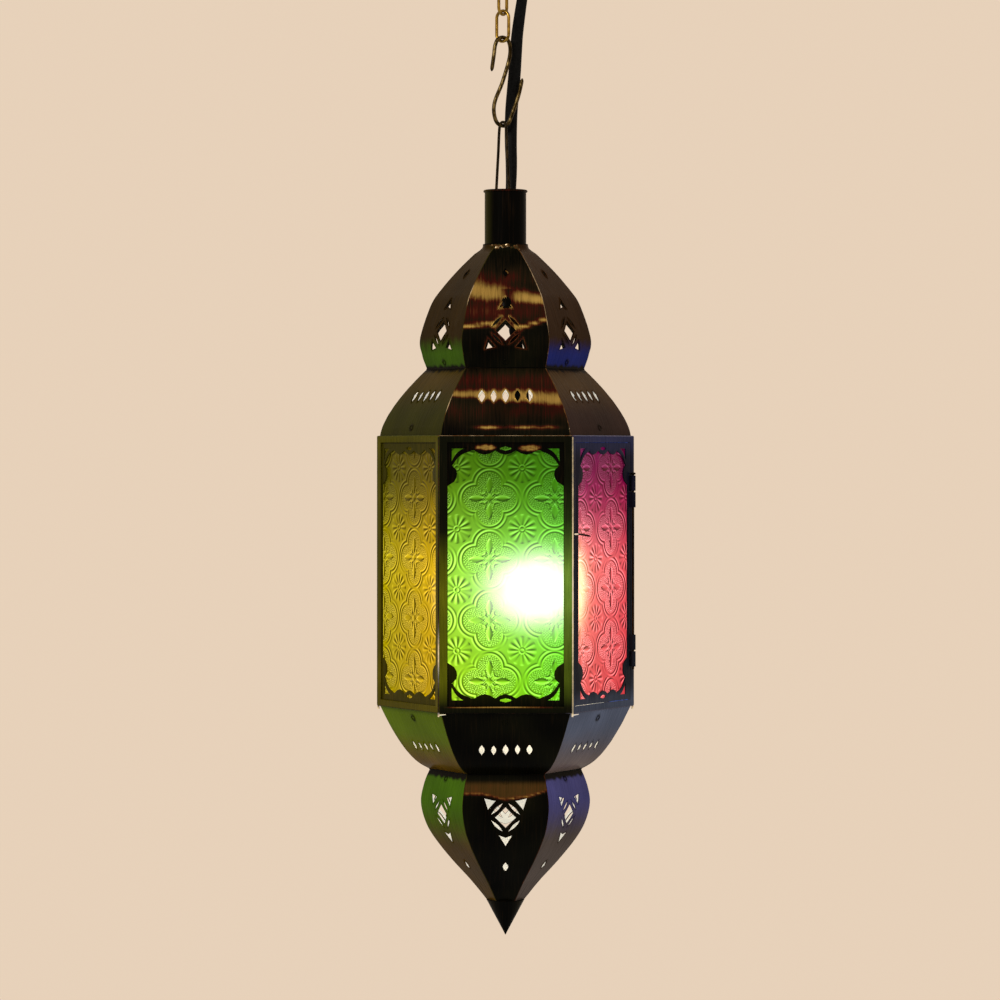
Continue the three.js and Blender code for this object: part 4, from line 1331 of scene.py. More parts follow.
def solder_blob(angle, size):
    """A lump of solder in the corner between the neck and the onion."""
    bm = bmesh.new()
    bmesh.ops.create_icosphere(bm, subdivisions=3, radius=1.0)
    drop = (38.2 + blob_chance.uniform(-0.9, 2.4)) * mm
    reach = (14.9 + max(drop / mm - 38.0, 0) * 0.55) * mm
    vertices = []
    for v in bm.verts:
        lump = mm * (1 + 0.3 * wander(v.co.x + 9 * angle, v.co.y, v.co.z, 1.3))
        x = reach * math.cos(angle) + v.co.x * size * lump
        y = reach * math.sin(angle) + 0.45 * v.co.y * lump
        vertices.append((x, y, lantern_at(drop) + 0.75 * v.co.z * size * lump))
    faces = [tuple(v.index for v in f.verts) for f in bm.faces]
    bm.free()
    return vertices, faces


blobs = made("neck_solder_blobs", *joined(solder_blob(*site) for site in blob_sites), trim_lacquer)
spots = places(blobs.data)
finished_by_place(
    blobs,
    0.42 + 0.8 * wander_over(spots[:, 0] / mm, spots[:, 2] / mm, 0.45, 6.0),
    np.full((len(spots), 3), 1.0) * linear(40, 36, 14),
)
placed(blobs, "lantern", "lacquered_metal")


# Tip
# A cone rolled from the same sheet and soldered under the lower onion.
tip_height = 23.4 * mm
tip_profile = [
    (0, lantern_at(tip_top * mm + tip_height)),
    (0.5 * mm, lantern_at(tip_top * mm + tip_height - 0.7 * mm)),
]
tip_profile += [
    (finial_end * mm * (1 - t), lantern_at(tip_top * mm + tip_height * t))
    for t in np.linspace(0.93, 0, 16)
]
tip_profile += [
    ((finial_end - 1.6) * mm * (1 - t), lantern_at(tip_top * mm + 0.86 * tip_height * t))
    for t in np.linspace(0, 1, 8)
]
tip_profile[-1] = (0, tip_profile[-1][1])
tip = outward(made("rolled_tip", *revolved(tip_profile, 72), sheet_lacquer))
spots, across, drop = surface_of(tip)
around = wander_over(across, drop, 0.1, 8.0)
# A painted brownish sheen towards the cone's left and right edges.
sides = np.clip(np.abs(spots[:, 0]) / (0.8 * finial_end * mm), 0, 1)[:, None] ** 3
finished_by_place(tip, 0.03 + 0.08 * around, sides * linear(22, 18, 8))
placed(tip, "lantern", "lacquered_metal", "tip_cone")


# Cage and frets
# The cage is a folded strip with six windows, posts and rails in one, its corners covered by thin
# half round beads that end in small tips. A pierced fret of the same sheet lies behind each window.
cage_lacquer = lacquered("cage_lacquer", streaks=(900, 900, 60))
pane_middle = -425.25
clearance = 0.3
cage_sheet = 0.8
post_width = 5
rail_width = 4
window_half = cage_radius / 2 - post_width


def divided(piece, levels, uprights):
    """Cuts a mesh by level and upright planes, so that its finish can change along it."""
    bm = bmesh.new()
    bm.from_mesh(piece.data)
    planes = [((0, 0, z * mm), (0, 0, 1)) for z in levels]
    planes += [
        ((0, 0, 0), (-math.sin(math.radians(a)), math.cos(math.radians(a)), 0)) for a in uprights
    ]
    for point, normal in planes:
        bmesh.ops.bisect_plane(
            bm, geom=bm.verts[:] + bm.edges[:] + bm.faces[:], plane_co=point, plane_no=normal
        )
    bm.to_mesh(piece.data)
    bm.free()
    return piece


def side_of(spots):
    """The side of the lantern that each place is on, counted round from the front."""
    return np.rint((np.degrees(np.arctan2(spots[:, 1], spots[:, 0])) + 90) / 60).astype(int) % 6


def painted_side_light(spots, strength=1.0):
    """Painted light on the posts and rails: olive to the left, blue grey to the right, and green
    and olive glow of the panes on the front posts.
    """
    side, z = side_of(spots), spots[:, 2] / mm
    down = smoothstep(z, -360, -500)[:, None]
    near_bulb = bump_at(z, -432, 30)[:, None]
    lower = (smoothstep(z, -395, -430) * smoothstep(z, -512, -495))[:, None]
    right_post = 0.9 * near_bulb * linear(80, 112, 40) + lower * linear(58, 70, 10)
    front = np.where((spots[:, 0] > 0)[:, None], right_post, lower * linear(74, 76, 4))
    front += linear(8, 9, 3)
    left = linear(64, 60, 3) + down * linear(30, 20, 0)
    right = linear(34, 36, 62) * (1 - down) + linear(54, 60, 74) * down
    on_rail = np.maximum(smoothstep(z, -352, -344), smoothstep(z, -500, -507))[:, None]
    right = right * (0.28 + 0.72 * on_rail)
    on_left, on_right = (np.isin(side, sides)[:, None] for sides in (left_sides, right_sides))
    return strength * np.where(on_left, left, np.where(on_right, right, front))


cage = refined("cage", "folded_cage", 0.3 * mm, cage_lacquer, limit=40)
rail_edge = pane_middle - cage_height / 2 + rail_width
levels = list(np.arange(-510, -340, 8.0)) + [rail_edge + 0.35, rail_edge - 0.6, rail_edge - 1.0]
divided(
    cage,
    levels,
    [60 * k + d for k in range(3) for d in (-1.0, 1.0)] + [60 * k + 30 for k in range(3)],
)
spots = places(cage.data)
z = spots[:, 2] / mm
# A gold line along the front's lower rail edge, of wear and painted highlight.
at_level = np.abs(z - (rail_edge - 0.1)) < 0.5
on_line = at_level & (spots[:, 1] < -68 * mm) & (np.abs(spots[:, 0]) < 37 * mm)
uneven = wander_over(spots[:, 0] / mm + spots[:, 1] / mm, z, 0.06, 3.0)
cage_painted_light = painted_side_light(spots) * (1 + 0.4 * uneven[:, None])
finished_by_place(cage, 0.03 + 0.08 * uneven + 0.95 * on_line, cage_painted_light)
placed(cage, "lantern", "lacquered_metal", "cage")

bead_places = [
    (84.1, 1.15), (42.9, 72.78), (-42.9, 72.78), (-84.1, 1.15), (-42.9, -72.78), (42.9, -72.78)
]
tip_leans = [(0, 1), (1, -0.5), (-0.87, -0.5), (0, 1), (1, 0), (0.87, 0.5)]
bead_paths = []
for across, back in bead_places:
    drops = np.linspace(cage_top + 0.6, cage_top + cage_height + 2.6, 60)
    bead_paths.append([(across * mm, back * mm, lantern_at(d * mm)) for d in drops])
bead_parts = [bead_mesh(bead_paths, 0.66 * mm, False, 2.0)]
for (across, back), lean in zip(bead_places, tip_leans):
    turned_up = []
    for t in (0, 1.2, 2.4, 3.6, 4.6):
        height = lantern_at((cage_top + cage_height + 1.5 - 0.1 * t) * mm)
        turned_up.append(((across + lean[0] * t) * mm, (back + lean[1] * t) * mm, height))
    bead_parts.append(
        swept(np.array(turned_up), circle(0.62 * mm, 8), girth=lambda share: 1 - 0.55 * share)
    )
beads = made("corner_beads", *joined(bead_parts), trim_lacquer)
spots = places(beads.data)
z, corner = spots[:, 2] / mm, corner_of(spots)
# Painted highlights on the corner beads: brightest on the front right corner with a pale painted
# glare near the bulb's height, painted glints on the front left and the right corner, bright tips.
bead_highlight = {
    0: 0.22 + 0.6 * smoothstep(z, -462, -450) * smoothstep(z, -410, -420),
    1: 0.30 + 0.3 * bump_at(z, -430, 40),
    2: 0.25 + 0 * z,
    3: 0.20 + 0 * z,
    4: 0.24 + 0.5 * bump_at(z, -477, 11),
    5: 0.60 + 0.35 * bump_at(z, -430, 45),
}
wear_and_highlight = sum(np.where(corner == k, level, 0) for k, level in bead_highlight.items())
wear_and_highlight += 1.1 * smoothstep(z, -514.5, -515.2) + 0.18 * wander_over(10.0 * corner, z, 0.12, 1.0)
glare = (0.35 + 0.65 * bump_at(z, -440, 45))[:, None] * linear(205, 212, 190)
bead_glare = np.where((corner == 5)[:, None], glare, linear(26, 26, 14))
glints = 0.9 * bump_at(z, -477, 12) * (corner == 4) + 0.8 * bump_at(z, -436, 16) * (corner == 0)
glints += smoothstep(z, -514.5, -515.2)
bead_glare += glints[:, None] * linear(190, 190, 176)
finished_by_place(beads, wear_and_highlight, bead_glare)
placed(beads, "lantern", "lacquered_metal")

lip_drops = (cage_top - 0.1, cage_top + cage_height + 0.1)
lip_paths = [hexagon_path((cage_radius - 0.65) * mm, drop * mm, 20) for drop in lip_drops]
lips = made("rail_lips", *bead_mesh(lip_paths, 0.38 * mm, True, 5.0), trim_lacquer)
spots = places(lips.data)
side = side_of(spots)
# Painted highlights along the top lips at front and back, painted blue grey light on the right and
# olive light on the left.
on_top = spots[:, 2] > -400 * mm
front_or_back = np.isin(side, front_and_back)
wear_and_highlight = np.where(on_top, np.where(front_or_back, 0.62, 0.2), np.where(front_or_back, 0.12, 0.1))
wear_and_highlight = wear_and_highlight + 0.2 * wander_over(spots[:, 0] / mm, spots[:, 1] / mm, 0.09, 2.0)
on_right, on_left = (np.isin(side, sides)[:, None] for sides in (right_sides, left_sides))
tint = np.where(on_right, linear(96, 92, 108), np.where(on_left, linear(66, 68, 22), 0.004))
finished_by_place(lips, wear_and_highlight, tint * np.where(on_top, 1, 0.6)[:, None])
placed(lips, "lantern", "lacquered_metal")


def local_across(spots, k):
    """How far each place is to the right along its own side of the lantern, in millimetres."""
    back = -k * math.pi / 3
    return (spots[:, 0] * math.cos(back) - spots[:, 1] * math.sin(back)) / mm


def bow_bars(piece, k, side):
    """Bends the four slim corner bars of a fret outwards, as the snips leave them."""
    spots = places(piece.data)
    x, z = local_across(spots, k), spots[:, 2] / mm - pane_middle
    low = np.array((side - 2.9, cage_height / 2 - 17.6))
    high = np.array((side - 13.4, cage_height / 2 - 8.7))
    along = (high - low) / np.linalg.norm(high - low)
    out, up = np.abs(x) - low[0], np.abs(z) - low[1]
    share = (out * along[0] + up * along[1]) / np.linalg.norm(high - low)
    on_bar = (np.abs(out * along[1] - up * along[0]) < 2.0) & (share > 0) & (share < 1)
    push = np.where(on_bar, 1.7 * np.sin(np.pi * np.clip(share, 0, 1)), 0)
    across, rise = push * along[1] * np.sign(x), -push * along[0] * np.sign(z)
    turn = k * math.pi / 3
    spots[:, 0] += across * math.cos(turn) * mm
    spots[:, 1] += across * math.sin(turn) * mm
    spots[:, 2] += rise * mm
    piece.data.vertices.foreach_set("co", spots.ravel())
    piece.data.update()


for k, face in enumerate(faces_round):
    if face == "front_right":
        continue
    fret = refined("fret_" + face, f"fret_{face}_cut", 0.22 * mm, cage_lacquer, limit=50)
    levels = list(np.arange(-349, -339, 0.8)) + [-380, -430, -480]
    divided(fret, levels, [60 * k - 90 + d for d in np.arange(-28, 29, 1.4)])
    bow_bars(fret, k, window_half - clearance)
    spots = places(fret.data)
    x, z = local_across(spots, k), spots[:, 2] / mm
    # The tops of the front and back frets carry gold patches of wear and painted highlight, and the
    # tint is painted light from the panes, as on the posts.
    wear_and_highlight = 0.05 + 0.14 * wander_over(x, z, 0.06, 2.0 * k)
    if k in front_and_back:
        for centre_x, centre_z, wide, high in ((-12.8, -343.6, 7.0, 2.2), (15.9, -344.2, 7.2, 2.5)):
            inside = np.hypot((x - centre_x) / wide, (z - centre_z) / high)
            inside += 0.3 * wander_over(x, z, 0.35, centre_x)
            wear_and_highlight += (0.74 + 0.5 * wander_over(x, 2 * z, 0.9, 5.0)) * smoothstep(inside, 1.1, 0.6)
    finished_by_place(fret, wear_and_highlight, painted_side_light(spots, 0.55 if k else 0.12))
    placed(fret, "lantern", "lacquered_metal", "fret_" + face)


# Panes
# Rolled figured glass, 3 mm, pressed with rows of four-lobed flowers and small daisies, and tinted
# in the mass. Each pane lies in the cage behind its fret, held by the ledges. The bulb's light
# through each pane is painted into its glow, with painted light and dark edges along the pressed
# lines.
cell_across, cell_down = 41.9, 39.15
pane_thickness = 3
dot_pitch = 1.75


def ridge(distance, width):
    return np.exp(-((distance / width) ** 2))


def pressed(x, z, shift=(0, 0)):
    """Height of the pattern in millimetres, and strength of its stipple, at places of a pane."""
    x, z = x - shift[0], z - shift[1]
    dx = (x + 10.3 + cell_across / 2) % cell_across - cell_across / 2
    dz = (z - 9.6 + cell_down / 2) % cell_down - cell_down / 2
    lobe = 9.3
    centres = ((lobe, 0), (-lobe, 0), (0, lobe), (0, -lobe))
    lobes = np.minimum.reduce([np.hypot(dx - a, dz - b) for a, b in centres]) - 8.7
    flower = np.minimum(lobes, np.hypot(dx, dz) - 7.2)
    height = 0.34 * ridge(flower, 0.5) + 0.28 * ridge(flower - 2.5, 0.6)
    height -= 0.12 * ridge(flower - 1.2, 0.5)
    inside = np.clip((-flower - 1.0) / 0.6, 0, 1)
    toward_x = np.where(np.abs(dx) > np.abs(dz), np.abs(dx) - lobe, np.abs(dx))
    toward_z = np.where(np.abs(dx) > np.abs(dz), np.abs(dz), np.abs(dz) - lobe)
    from_lobe = np.hypot(toward_x, toward_z)
    row = np.round(from_lobe / dot_pitch)
    round_row = np.maximum(np.round(2 * np.pi * row), 1)
    across_rows = 1.1 * np.cos(2 * np.pi * from_lobe / dot_pitch)
    along_rows = np.cos(round_row * np.arctan2(toward_z, toward_x))
    dots = np.clip(0.12 + across_rows * along_rows, 0, 1)
    radius = np.hypot(dx, dz)
    along_axis = np.maximum(np.abs(dx), np.abs(dz))
    off_axis = np.minimum(np.abs(dx), np.abs(dz))
    leaf_width = 2.0 * np.clip(1 - ((along_axis - 8.4) / 5.0) ** 2, 0, 1)
    leaf = np.clip(1 - off_axis / np.maximum(leaf_width, 1e-3), 0, 1) * (leaf_width > 0.05)
    on_leaf = leaf > 0
    star = np.clip(1 - (np.abs(dx) + np.abs(dz)) / 2.6, 0, 1)
    curl = np.hypot(np.abs(dx) - 4.7, np.abs(dz) - 4.7)
    inward = (9.4 - np.abs(dx) - np.abs(dz)) / (1.41 * curl + 0.3)
    scroll = ridge(curl - 2.1, 0.55) * np.clip(0.55 + 0.9 * inward, 0, 1)
    scroll += ridge(np.abs(dx) - np.abs(dz), 0.7) * ridge(radius - 3.4, 1.1)
    stipple = inside * dots * ~on_leaf * (star <= 0)
    raised = 0.10 * stipple + 0.55 * np.sqrt(leaf) * inside + 0.5 * np.sqrt(star)
    height += raised + 0.36 * scroll * inside
    ex = (x + 10.3) % cell_across - cell_across / 2
    ez = (z - 9.6) % cell_down - cell_down / 2
    daisy_radius, daisy_angle = np.hypot(ex, ez), np.arctan2(ez, ex)
    petal = np.clip(np.cos(12 * daisy_angle) * 0.5 + 0.5, 0, 1) ** 1.4
    spread = np.clip(1 - ((daisy_radius - 5.9) / 3.5) ** 2, 0, 1)
    height += 0.44 * np.sqrt(spread) * petal + 0.34 * ridge(daisy_radius - 1.5, 0.5)
    return height, inside * (dots - 0.32) * ~on_leaf * (star <= 0) * (1 - np.clip(scroll, 0, 1))


def pane_colours(look, height, stipple, x, z):
    """Painted light of the pane at each place: the bulb's glow and halo, and painted light and dark
    edges along each pressed line.
    """
    shades, left, right, (spot_x, spot_z), reach, core, halo, sparkle = look
    step_z, step_x = np.gradient(height, z[:, 0], x[0])
    towards_x, towards_z = spot_x - x, spot_z - z - 14
    length = np.hypot(towards_x, towards_z) + 6
    edge = (step_x * towards_x + step_z * towards_z) / length
    distance = np.hypot((x - spot_x) / reach[0], (z - spot_z) / reach[1])
    near = np.exp(-(distance**2.8))[..., None]
    around = np.exp(-((distance / 1.65) ** 2))[..., None]
    share = (z - z.min()) / (z.max() - z.min())
    roots = [[shade[c] ** 0.5 for shade in shades] for c in range(3)]
    body = np.stack([np.interp(share, (0, 0.55, 0.86, 1), root) ** 2 for root in roots], -1)
    across = ((x - x.min()) / (x.max() - x.min()))[..., None]
    body = body * (np.array(left) * (1 - across) + np.array(right) * across)
    grain = stipple * (1.55 - 0.75 * across[..., 0]) * (1 - 0.45 * around[..., 0])
    relief = 1 + 3.3 * edge - 0.14 * np.clip(height, 0, 1) + 1.45 * grain
    relief = np.clip(relief, 0.10, 3.6)[..., None]
    shine = np.clip(edge - 0.10, 0, 1)[..., None] * (0.05 + 1.25 * body.max(-1, keepdims=True))
    shine = shine + 0.60 * np.clip(grain, 0, 1)[..., None] * body.max(-1, keepdims=True)
    lit = body * relief * (1 + 0.25 * around)
    lit += sparkle * shine * (0.4 * body / body.max() + 0.45)
    lit = lit * (1 - 0.6 * near) + np.array(core) * 1.5 * near
    lit += np.array(halo) * 0.26 * around * (1 + 1.6 * edge[..., None])
    return np.clip(lit, 0, 2.2)


def figured_glass(name, tint):
    """Tinted pressed glass whose glow is the painted light of the lamp behind it."""
    shades = [tuple(share * c for c in tint) for share in (0.05, 0.08)]
    material = finish(name, shades, 0, (0.08, 0.16), (30, 30, 30), 0.00003)
    nodes = material.node_tree.nodes
    lit = added(nodes, "Attribute", {}, attribute_name="lit").outputs["Color"]
    place = nodes["Texture Coordinate"].outputs["Object"]
    seeds = added(nodes, "TexNoise", {"Vector": place, "Scale": 110, "Detail": 3}).outputs["Fac"]
    cloudy = added(nodes, "MapRange", {"Value": seeds, "To Min": 0.82, "To Max": 1.16})
    dimmed = {"Vector": lit, "Scale": cloudy.outputs["Result"]}
    shaded = added(nodes, "VectorMath", dimmed, operation="SCALE")
    glow = {"Emission Color": shaded.outputs["Vector"], "Emission Strength": 1.0}
    wired(shader_of(material), {**glow, "Specular IOR Level": 0.03})
    return material


def pane(name, half_width, half_height, front, turn, look, glass, shift=(0, 0), cell=0.46):
    """A pane with the pattern pressed in its outer face, turned to its side of the lantern."""
    columns = 2 * int(round(half_width / cell))
    rows = 2 * int(round(half_height / cell))
    xs = np.linspace(-half_width, half_width, columns + 1)
    zs = np.linspace(-half_height, half_height, rows + 1)
    x, z = np.meshgrid(xs, zs)
    height, stipple = pressed(x, z, shift)
    margin = np.clip(np.minimum(half_width - np.abs(x), half_height - np.abs(z)) / 1.5, 0, 1)
    height = height * margin
    outer = np.stack([x, -(front - 0.75) - height * 0.8, z + pane_middle], -1).reshape(-1, 3)
    inner = np.stack([x, -(front - pane_thickness) - height * 0.3, z + pane_middle], -1)
    inner = inner[::2, ::2].reshape(-1, 3)

    def grid_of(down, across, first):
        grid = first + np.arange((down + 1) * (across + 1)).reshape(down + 1, across + 1)
        quads = np.stack([grid[:-1, :-1], grid[:-1, 1:], grid[1:, 1:], grid[1:, :-1]], -1)
        edge = np.concatenate([grid[0, :-1], grid[:-1, -1], grid[-1, :0:-1], grid[:0:-1, 0]])
        return quads.reshape(-1, 4).tolist(), edge.tolist()

    outer_quads, outer_edge = grid_of(rows, columns, 0)
    inner_quads, inner_edge = grid_of(rows // 2, columns // 2, len(outer))
    vertices = np.concatenate([outer, inner])
    faces = [tuple(q) for q in outer_quads] + [tuple(q[::-1]) for q in inner_quads]
    for i, (a, b) in enumerate(zip(inner_edge, inner_edge[1:] + inner_edge[:1])):
        near_side = [outer_edge[(2 * i + k) % len(outer_edge)] for k in (2, 1, 0)]
        faces.append((*near_side, a, b))
    angle = turn * math.pi / 3
    c, s = math.cos(angle), math.sin(angle)
    colours = pane_colours(look, height, stipple, x, z).reshape(-1, 3)
    # The inner faces glow at 0.4 of the pane's painted light, without the bulb's hot spot.
    without_hot_spot = look[:4] + ((0.01, 0.01),) + look[5:]
    inside = 0.4 * pane_colours(without_hot_spot, height, stipple, x, z)[::2, ::2].reshape(-1, 3)
    colours = np.concatenate([colours, inside])
    turned = vertices.copy() * mm
    turned[:, 0] = (vertices[:, 0] * c - vertices[:, 1] * s) * mm
    turned[:, 1] = (vertices[:, 0] * s + vertices[:, 1] * c) * mm
    piece = outward(made(name, turned, faces, glass, sharp=60))
    painted(piece.data, "lit", colours)
    return piece


white, pale_green, ember = (1.0, 0.98, 0.90), (0.62, 0.95, 0.35), (1.0, 0.74, 0.36)
dull_gold, dim_brown, fire = (0.9, 0.6, 0.2), (0.3, 0.14, 0.0), (1.0, 0.40, 0.14)
even = (1.0, 1.0, 1.0)
green = ((0.27, 0.64, 0.012), (0.21, 0.64, 0.030), (0.048, 0.155, 0.002), (0.028, 0.10, 0.001))
amber = ((0.40, 0.27, 0.001), (0.52, 0.36, 0.001), (0.070, 0.056, 0.001), (0.046, 0.034, 0.001))
red = ((0.70, 0.058, 0.062), (0.84, 0.120, 0.125), (0.16, 0.001, 0.042), (0.100, 0.0005, 0.040))
blue = ((0.035, 0.17, 0.72), (0.025, 0.12, 0.62), (0.010, 0.035, 0.22), (0.006, 0.02, 0.13))
orange = ((0.80, 0.27, 0.010), (0.74, 0.24, 0.010), (0.26, 0.08, 0.005), (0.16, 0.05, 0.003))
# A look is the glass's painted light from bottom to top, its gain at the left and right edge, the
# place and reach of the bulb's painted glow, the colours of its core and halo, and how the painted
# lines sparkle.
green_look = (
    green, (1.40, 1.00, 1.0), (0.50, 0.95, 0.4), (20.5, -9.8), (29, 21), white, pale_green, 1.0
)
amber_look = (
    amber, (0.82, 0.95, 1.0), (1.22, 1.04, 1.0), (52, -14.8), (17, 20), dull_gold, dim_brown, 0.6
)
red_look = (red, (1.08, 1.75, 1.55), (0.92, 0.72, 0.85), (-36, -9.8), (15, 25), ember, fire, 2.2)
blue_look = (blue, even, even, (2, -14.8), (24, 22), (0.75, 0.85, 1.0), (0.2, 0.4, 1.0), 1.0)
orange_look = (
    orange, even, even, (-23.7, -14.8), (20, 18), (1.0, 0.85, 0.6), (0.9, 0.5, 0.1), 1.0
)
back_green = (green, even, even, (-18, -14.8), (14, 14), (0.5, 0.8, 0.3), (0.2, 0.5, 0.05), 1.0)
looks = {
    "front": ("green", green_look, (0, 0)),
    "back_right": ("blue", blue_look, (9, 5)),
    "back": ("orange", orange_look, (-6, 12)),
    "back_left": ("green", back_green, (4, -11)),
    "front_left": ("amber", amber_look, (14, 0)),
}
apothem_out = cage_radius * cos30
pane_front = apothem_out - 2 * cage_sheet - 2 * clearance
pane_half = (pane_front - pane_thickness) * tan30 - clearance
pane_height = cage_height / 2 - cage_sheet - clearance
for face, (colour, look, shift) in looks.items():
    glass = figured_glass(f"{face}_{colour}_glass", look[0][1])
    cell = 0.42 if face == "front" else 0.46
    pressed_pane = pane(
        f"pane_{face}",
        pane_half,
        pane_height,
        pane_front,
        faces_round.index(face),
        look,
        glass,
        shift,
        cell,
    )
    placed(pressed_pane, "lantern", "glass_" + colour, "glass_" + face)


# Door
# The right hand front side is a door: a flat frame cut like a fret, with its pane cemented behind,
# two knuckles rolled on its far edge round a long wire pin, and a springy wire that snaps into a
# hole in the post.
door_rim = 3.6
door_front = apothem_out - cage_sheet - clearance
door_half, door_height = window_half - 1, cage_height / 2 - rail_width - 1
door_frame = refined("door_frame", "door_sheet", 0.22 * mm, cage_lacquer, limit=50)
divided(door_frame, [-350, -380, -430, -480, -500], [-30 + d for d in np.arange(-28, 29, 1.4)])
bow_bars(door_frame, 1, window_half - clearance - door_rim)
spots = places(door_frame.data)
uneven = wander_over(spots[:, 1] / mm, spots[:, 2] / mm, 0.06, 9.0)
# The door frame takes the same painted light of the panes as the posts.
finished_by_place(door_frame, 0.05 + 0.14 * uneven, painted_side_light(spots, 0.7))
placed(door_frame, "door", "lacquered_metal", "door_frame")
red_glass = figured_glass("door_red_glass", red[1])
door_pane = pane(
    "pane_door", door_half, door_height, door_front, 1, red_look, red_glass, (24, 19.6)
)
placed(door_pane, "door", "glass_red", "door_glass")

hinge_x = window_half - clearance / 2
hinge_y = -apothem_out - 2.1
door_turn = Matrix.Rotation(math.pi / 3, 4, "Z")
pin_reach = 65.0
pin_profile = [
    (0, pin_reach),
    (1.2, pin_reach),
    (1.7, pin_reach - 0.4),
    (1.7, pin_reach - 1.1),
    (1.4, pin_reach - 1.4),
    (0.8, pin_reach - 1.4),
]
pin_profile += [(0.8, z) for z in np.linspace(pin_reach - 3, -pin_reach + 0.6, 20)] + [
    (0.5, -pin_reach), (0, -pin_reach)
]
vertices, faces = revolved([(radius * mm, (z + pane_middle) * mm) for radius, z in pin_profile], 24)
pin_place = door_turn @ Matrix.Translation((hinge_x * mm, hinge_y * mm, 0))
pin = outward(made("door_pin_wire", moved(vertices, pin_place), faces, dark_steel))
placed(pin, "lantern", "dark_wire", "door_pin")

catch_x = -cage_radius / 2 + 3.2
catch_z = pane_middle + 25.8
catch_wire = 0.6
catch_reach = 17
catch_face = -apothem_out - catch_wire - clearance
catch_points = [
    (catch_x, -apothem_out + 1.3, catch_z),
    (catch_x, -apothem_out + 0.4, catch_z),
    (catch_x + 0.1, -apothem_out - catch_wire, catch_z),
    (catch_x + 1, catch_face, catch_z),
    (catch_x + 3, catch_face, catch_z),
    (catch_x + 0.6 * catch_reach, catch_face, catch_z - 0.6),
    (catch_x + catch_reach, -apothem_out - catch_wire - 2, catch_z - 1.6),
]
catch_path = smooth_path([tuple(door_turn @ Vector(p) * mm) for p in catch_points], 8)
catch = made(
    "catch_wire", *swept(catch_path, circle(catch_wire * mm, 12), girth=cut_ends), trim_lacquer
)
spots = moved(places(catch.data), door_turn.inverted())
from_head = np.array([spot[0] / mm - catch_x for spot in spots])
# The catch's head carries a painted pale highlight.
head_highlight = smoothstep(from_head, 3.4, 2.2) * 0.9
finished_by_place(catch, 0.10 + head_highlight, head_highlight[:, None] * linear(225, 225, 205))
placed(catch, "door", "aged_brass", "door_catch")


# Lampholder and bulb
# A black moulded lampholder in two screwed halves hangs on its lead from the grip. The bulb's
# rolled thread screws into it, and the bulb is lit.
holder_tilt = math.radians(5)
pivot = Vector((3.5 * mm, 4.5 * mm, lantern_at((30 + 1.5 + 4) * mm)))
hang = Matrix.Translation(pivot) @ Matrix.Rotation(-holder_tilt, 4, "Y")
holder_top = -130.8
holder_cap_height = 22
holder_floor = 3
screw_cap_height = 25
bulb_seat = holder_top - clearance - holder_cap_height - clearance
cap_tip = bulb_seat - holder_floor - clearance
bulb_top = cap_tip - screw_cap_height - clearance


def hung(name, profile, material, sides=72):
    """A turned piece on the lampholder's leaning axis, from a profile in millimetres."""
    vertices, faces = revolved([(radius * mm, height * mm) for radius, height in profile], sides)
    return outward(made(name, moved(vertices, hang), faces, material))


lead_path = [(0.6 * math.sin(i / 4), 0.5 * math.cos(i / 5), -0.8 - 130 * i / 40) for i in range(41)]
lead_points = np.array([tuple(hang @ (Vector(p) * mm)) for p in lead_path])
lead = made("inner_lead_sheath", *swept(lead_points, circle(2.6 * mm, 18)), black_sheath)
placed(lead, "lampholder", "black_cord", "inner_lead")

cap_profile = [
    (0, holder_top - clearance),
    (7.2, holder_top - clearance),
    (7.8, holder_top - 1),
    (8.4, holder_top - 6.6),
    (12, holder_top - 9),
    (15.6, holder_top - 11.3),
]
for i in range(5):
    z = holder_top - 13.2 - 1.8 * i
    cap_profile += [(18.9, z), (19.2, z - 0.4), (19.2, z - 1.1), (18.7, z - 1.4)]
cap_foot = holder_top - clearance - holder_cap_height
cap_profile += [(19.0, cap_foot), (0, cap_foot)]
placed(
    hung("holder_cap_moulding", cap_profile, black_moulding),
    "lampholder",
    "black_plastic",
    "holder_cap",
)

body_profile = [
    (0, bulb_seat),
    (18.8, bulb_seat),
    (19.6, bulb_seat - 1),
    (20, bulb_seat - 4),
    (20, bulb_seat - 10),
]
for i in range(4):
    z = bulb_seat - 11 - 2.2 * i
    body_profile += [(19.4, z), (19.4, z - 0.8), (20, z - 1.2), (20, z - 1.8)]
body_profile += [
    (20, bulb_seat - 30),
    (19.4, bulb_seat - 31),
    (14.4, bulb_seat - 31),
    (13.8, bulb_seat - 30.4),
    (13.8, bulb_seat - holder_floor),
    (0, bulb_seat - holder_floor),
]
placed(
    hung("holder_body_moulding", body_profile, black_moulding),
    "lampholder",
    "black_plastic",
    "holder_body",
)

rolled_aluminium = finish(
    "rolled_aluminium",
    [(0.42, 0.41, 0.39), (0.72, 0.71, 0.68)],
    1.0,
    (0.2, 0.36),
    (240, 240, 240),
    0.00004,
)
thread = [
    (0, cap_tip), (4.2, cap_tip), (5.2, cap_tip - 0.8), (10.2, cap_tip - 3.4), (12.2, cap_tip - 4.6)
]
thread += [
    (12.7 + 0.5 * math.cos(2 * math.pi * (d - 5) / 3.6), cap_tip - d)
    for d in np.linspace(5.2, 21.5, 46)
]
cap_end = cap_tip - screw_cap_height
thread += [(13.2, cap_tip - 22.6), (13.2, cap_end), (0, cap_end)]
placed(hung("bulb_screw_cap", thread, rolled_aluminium), "bulb", "bulb_cap_metal", "bulb_cap")

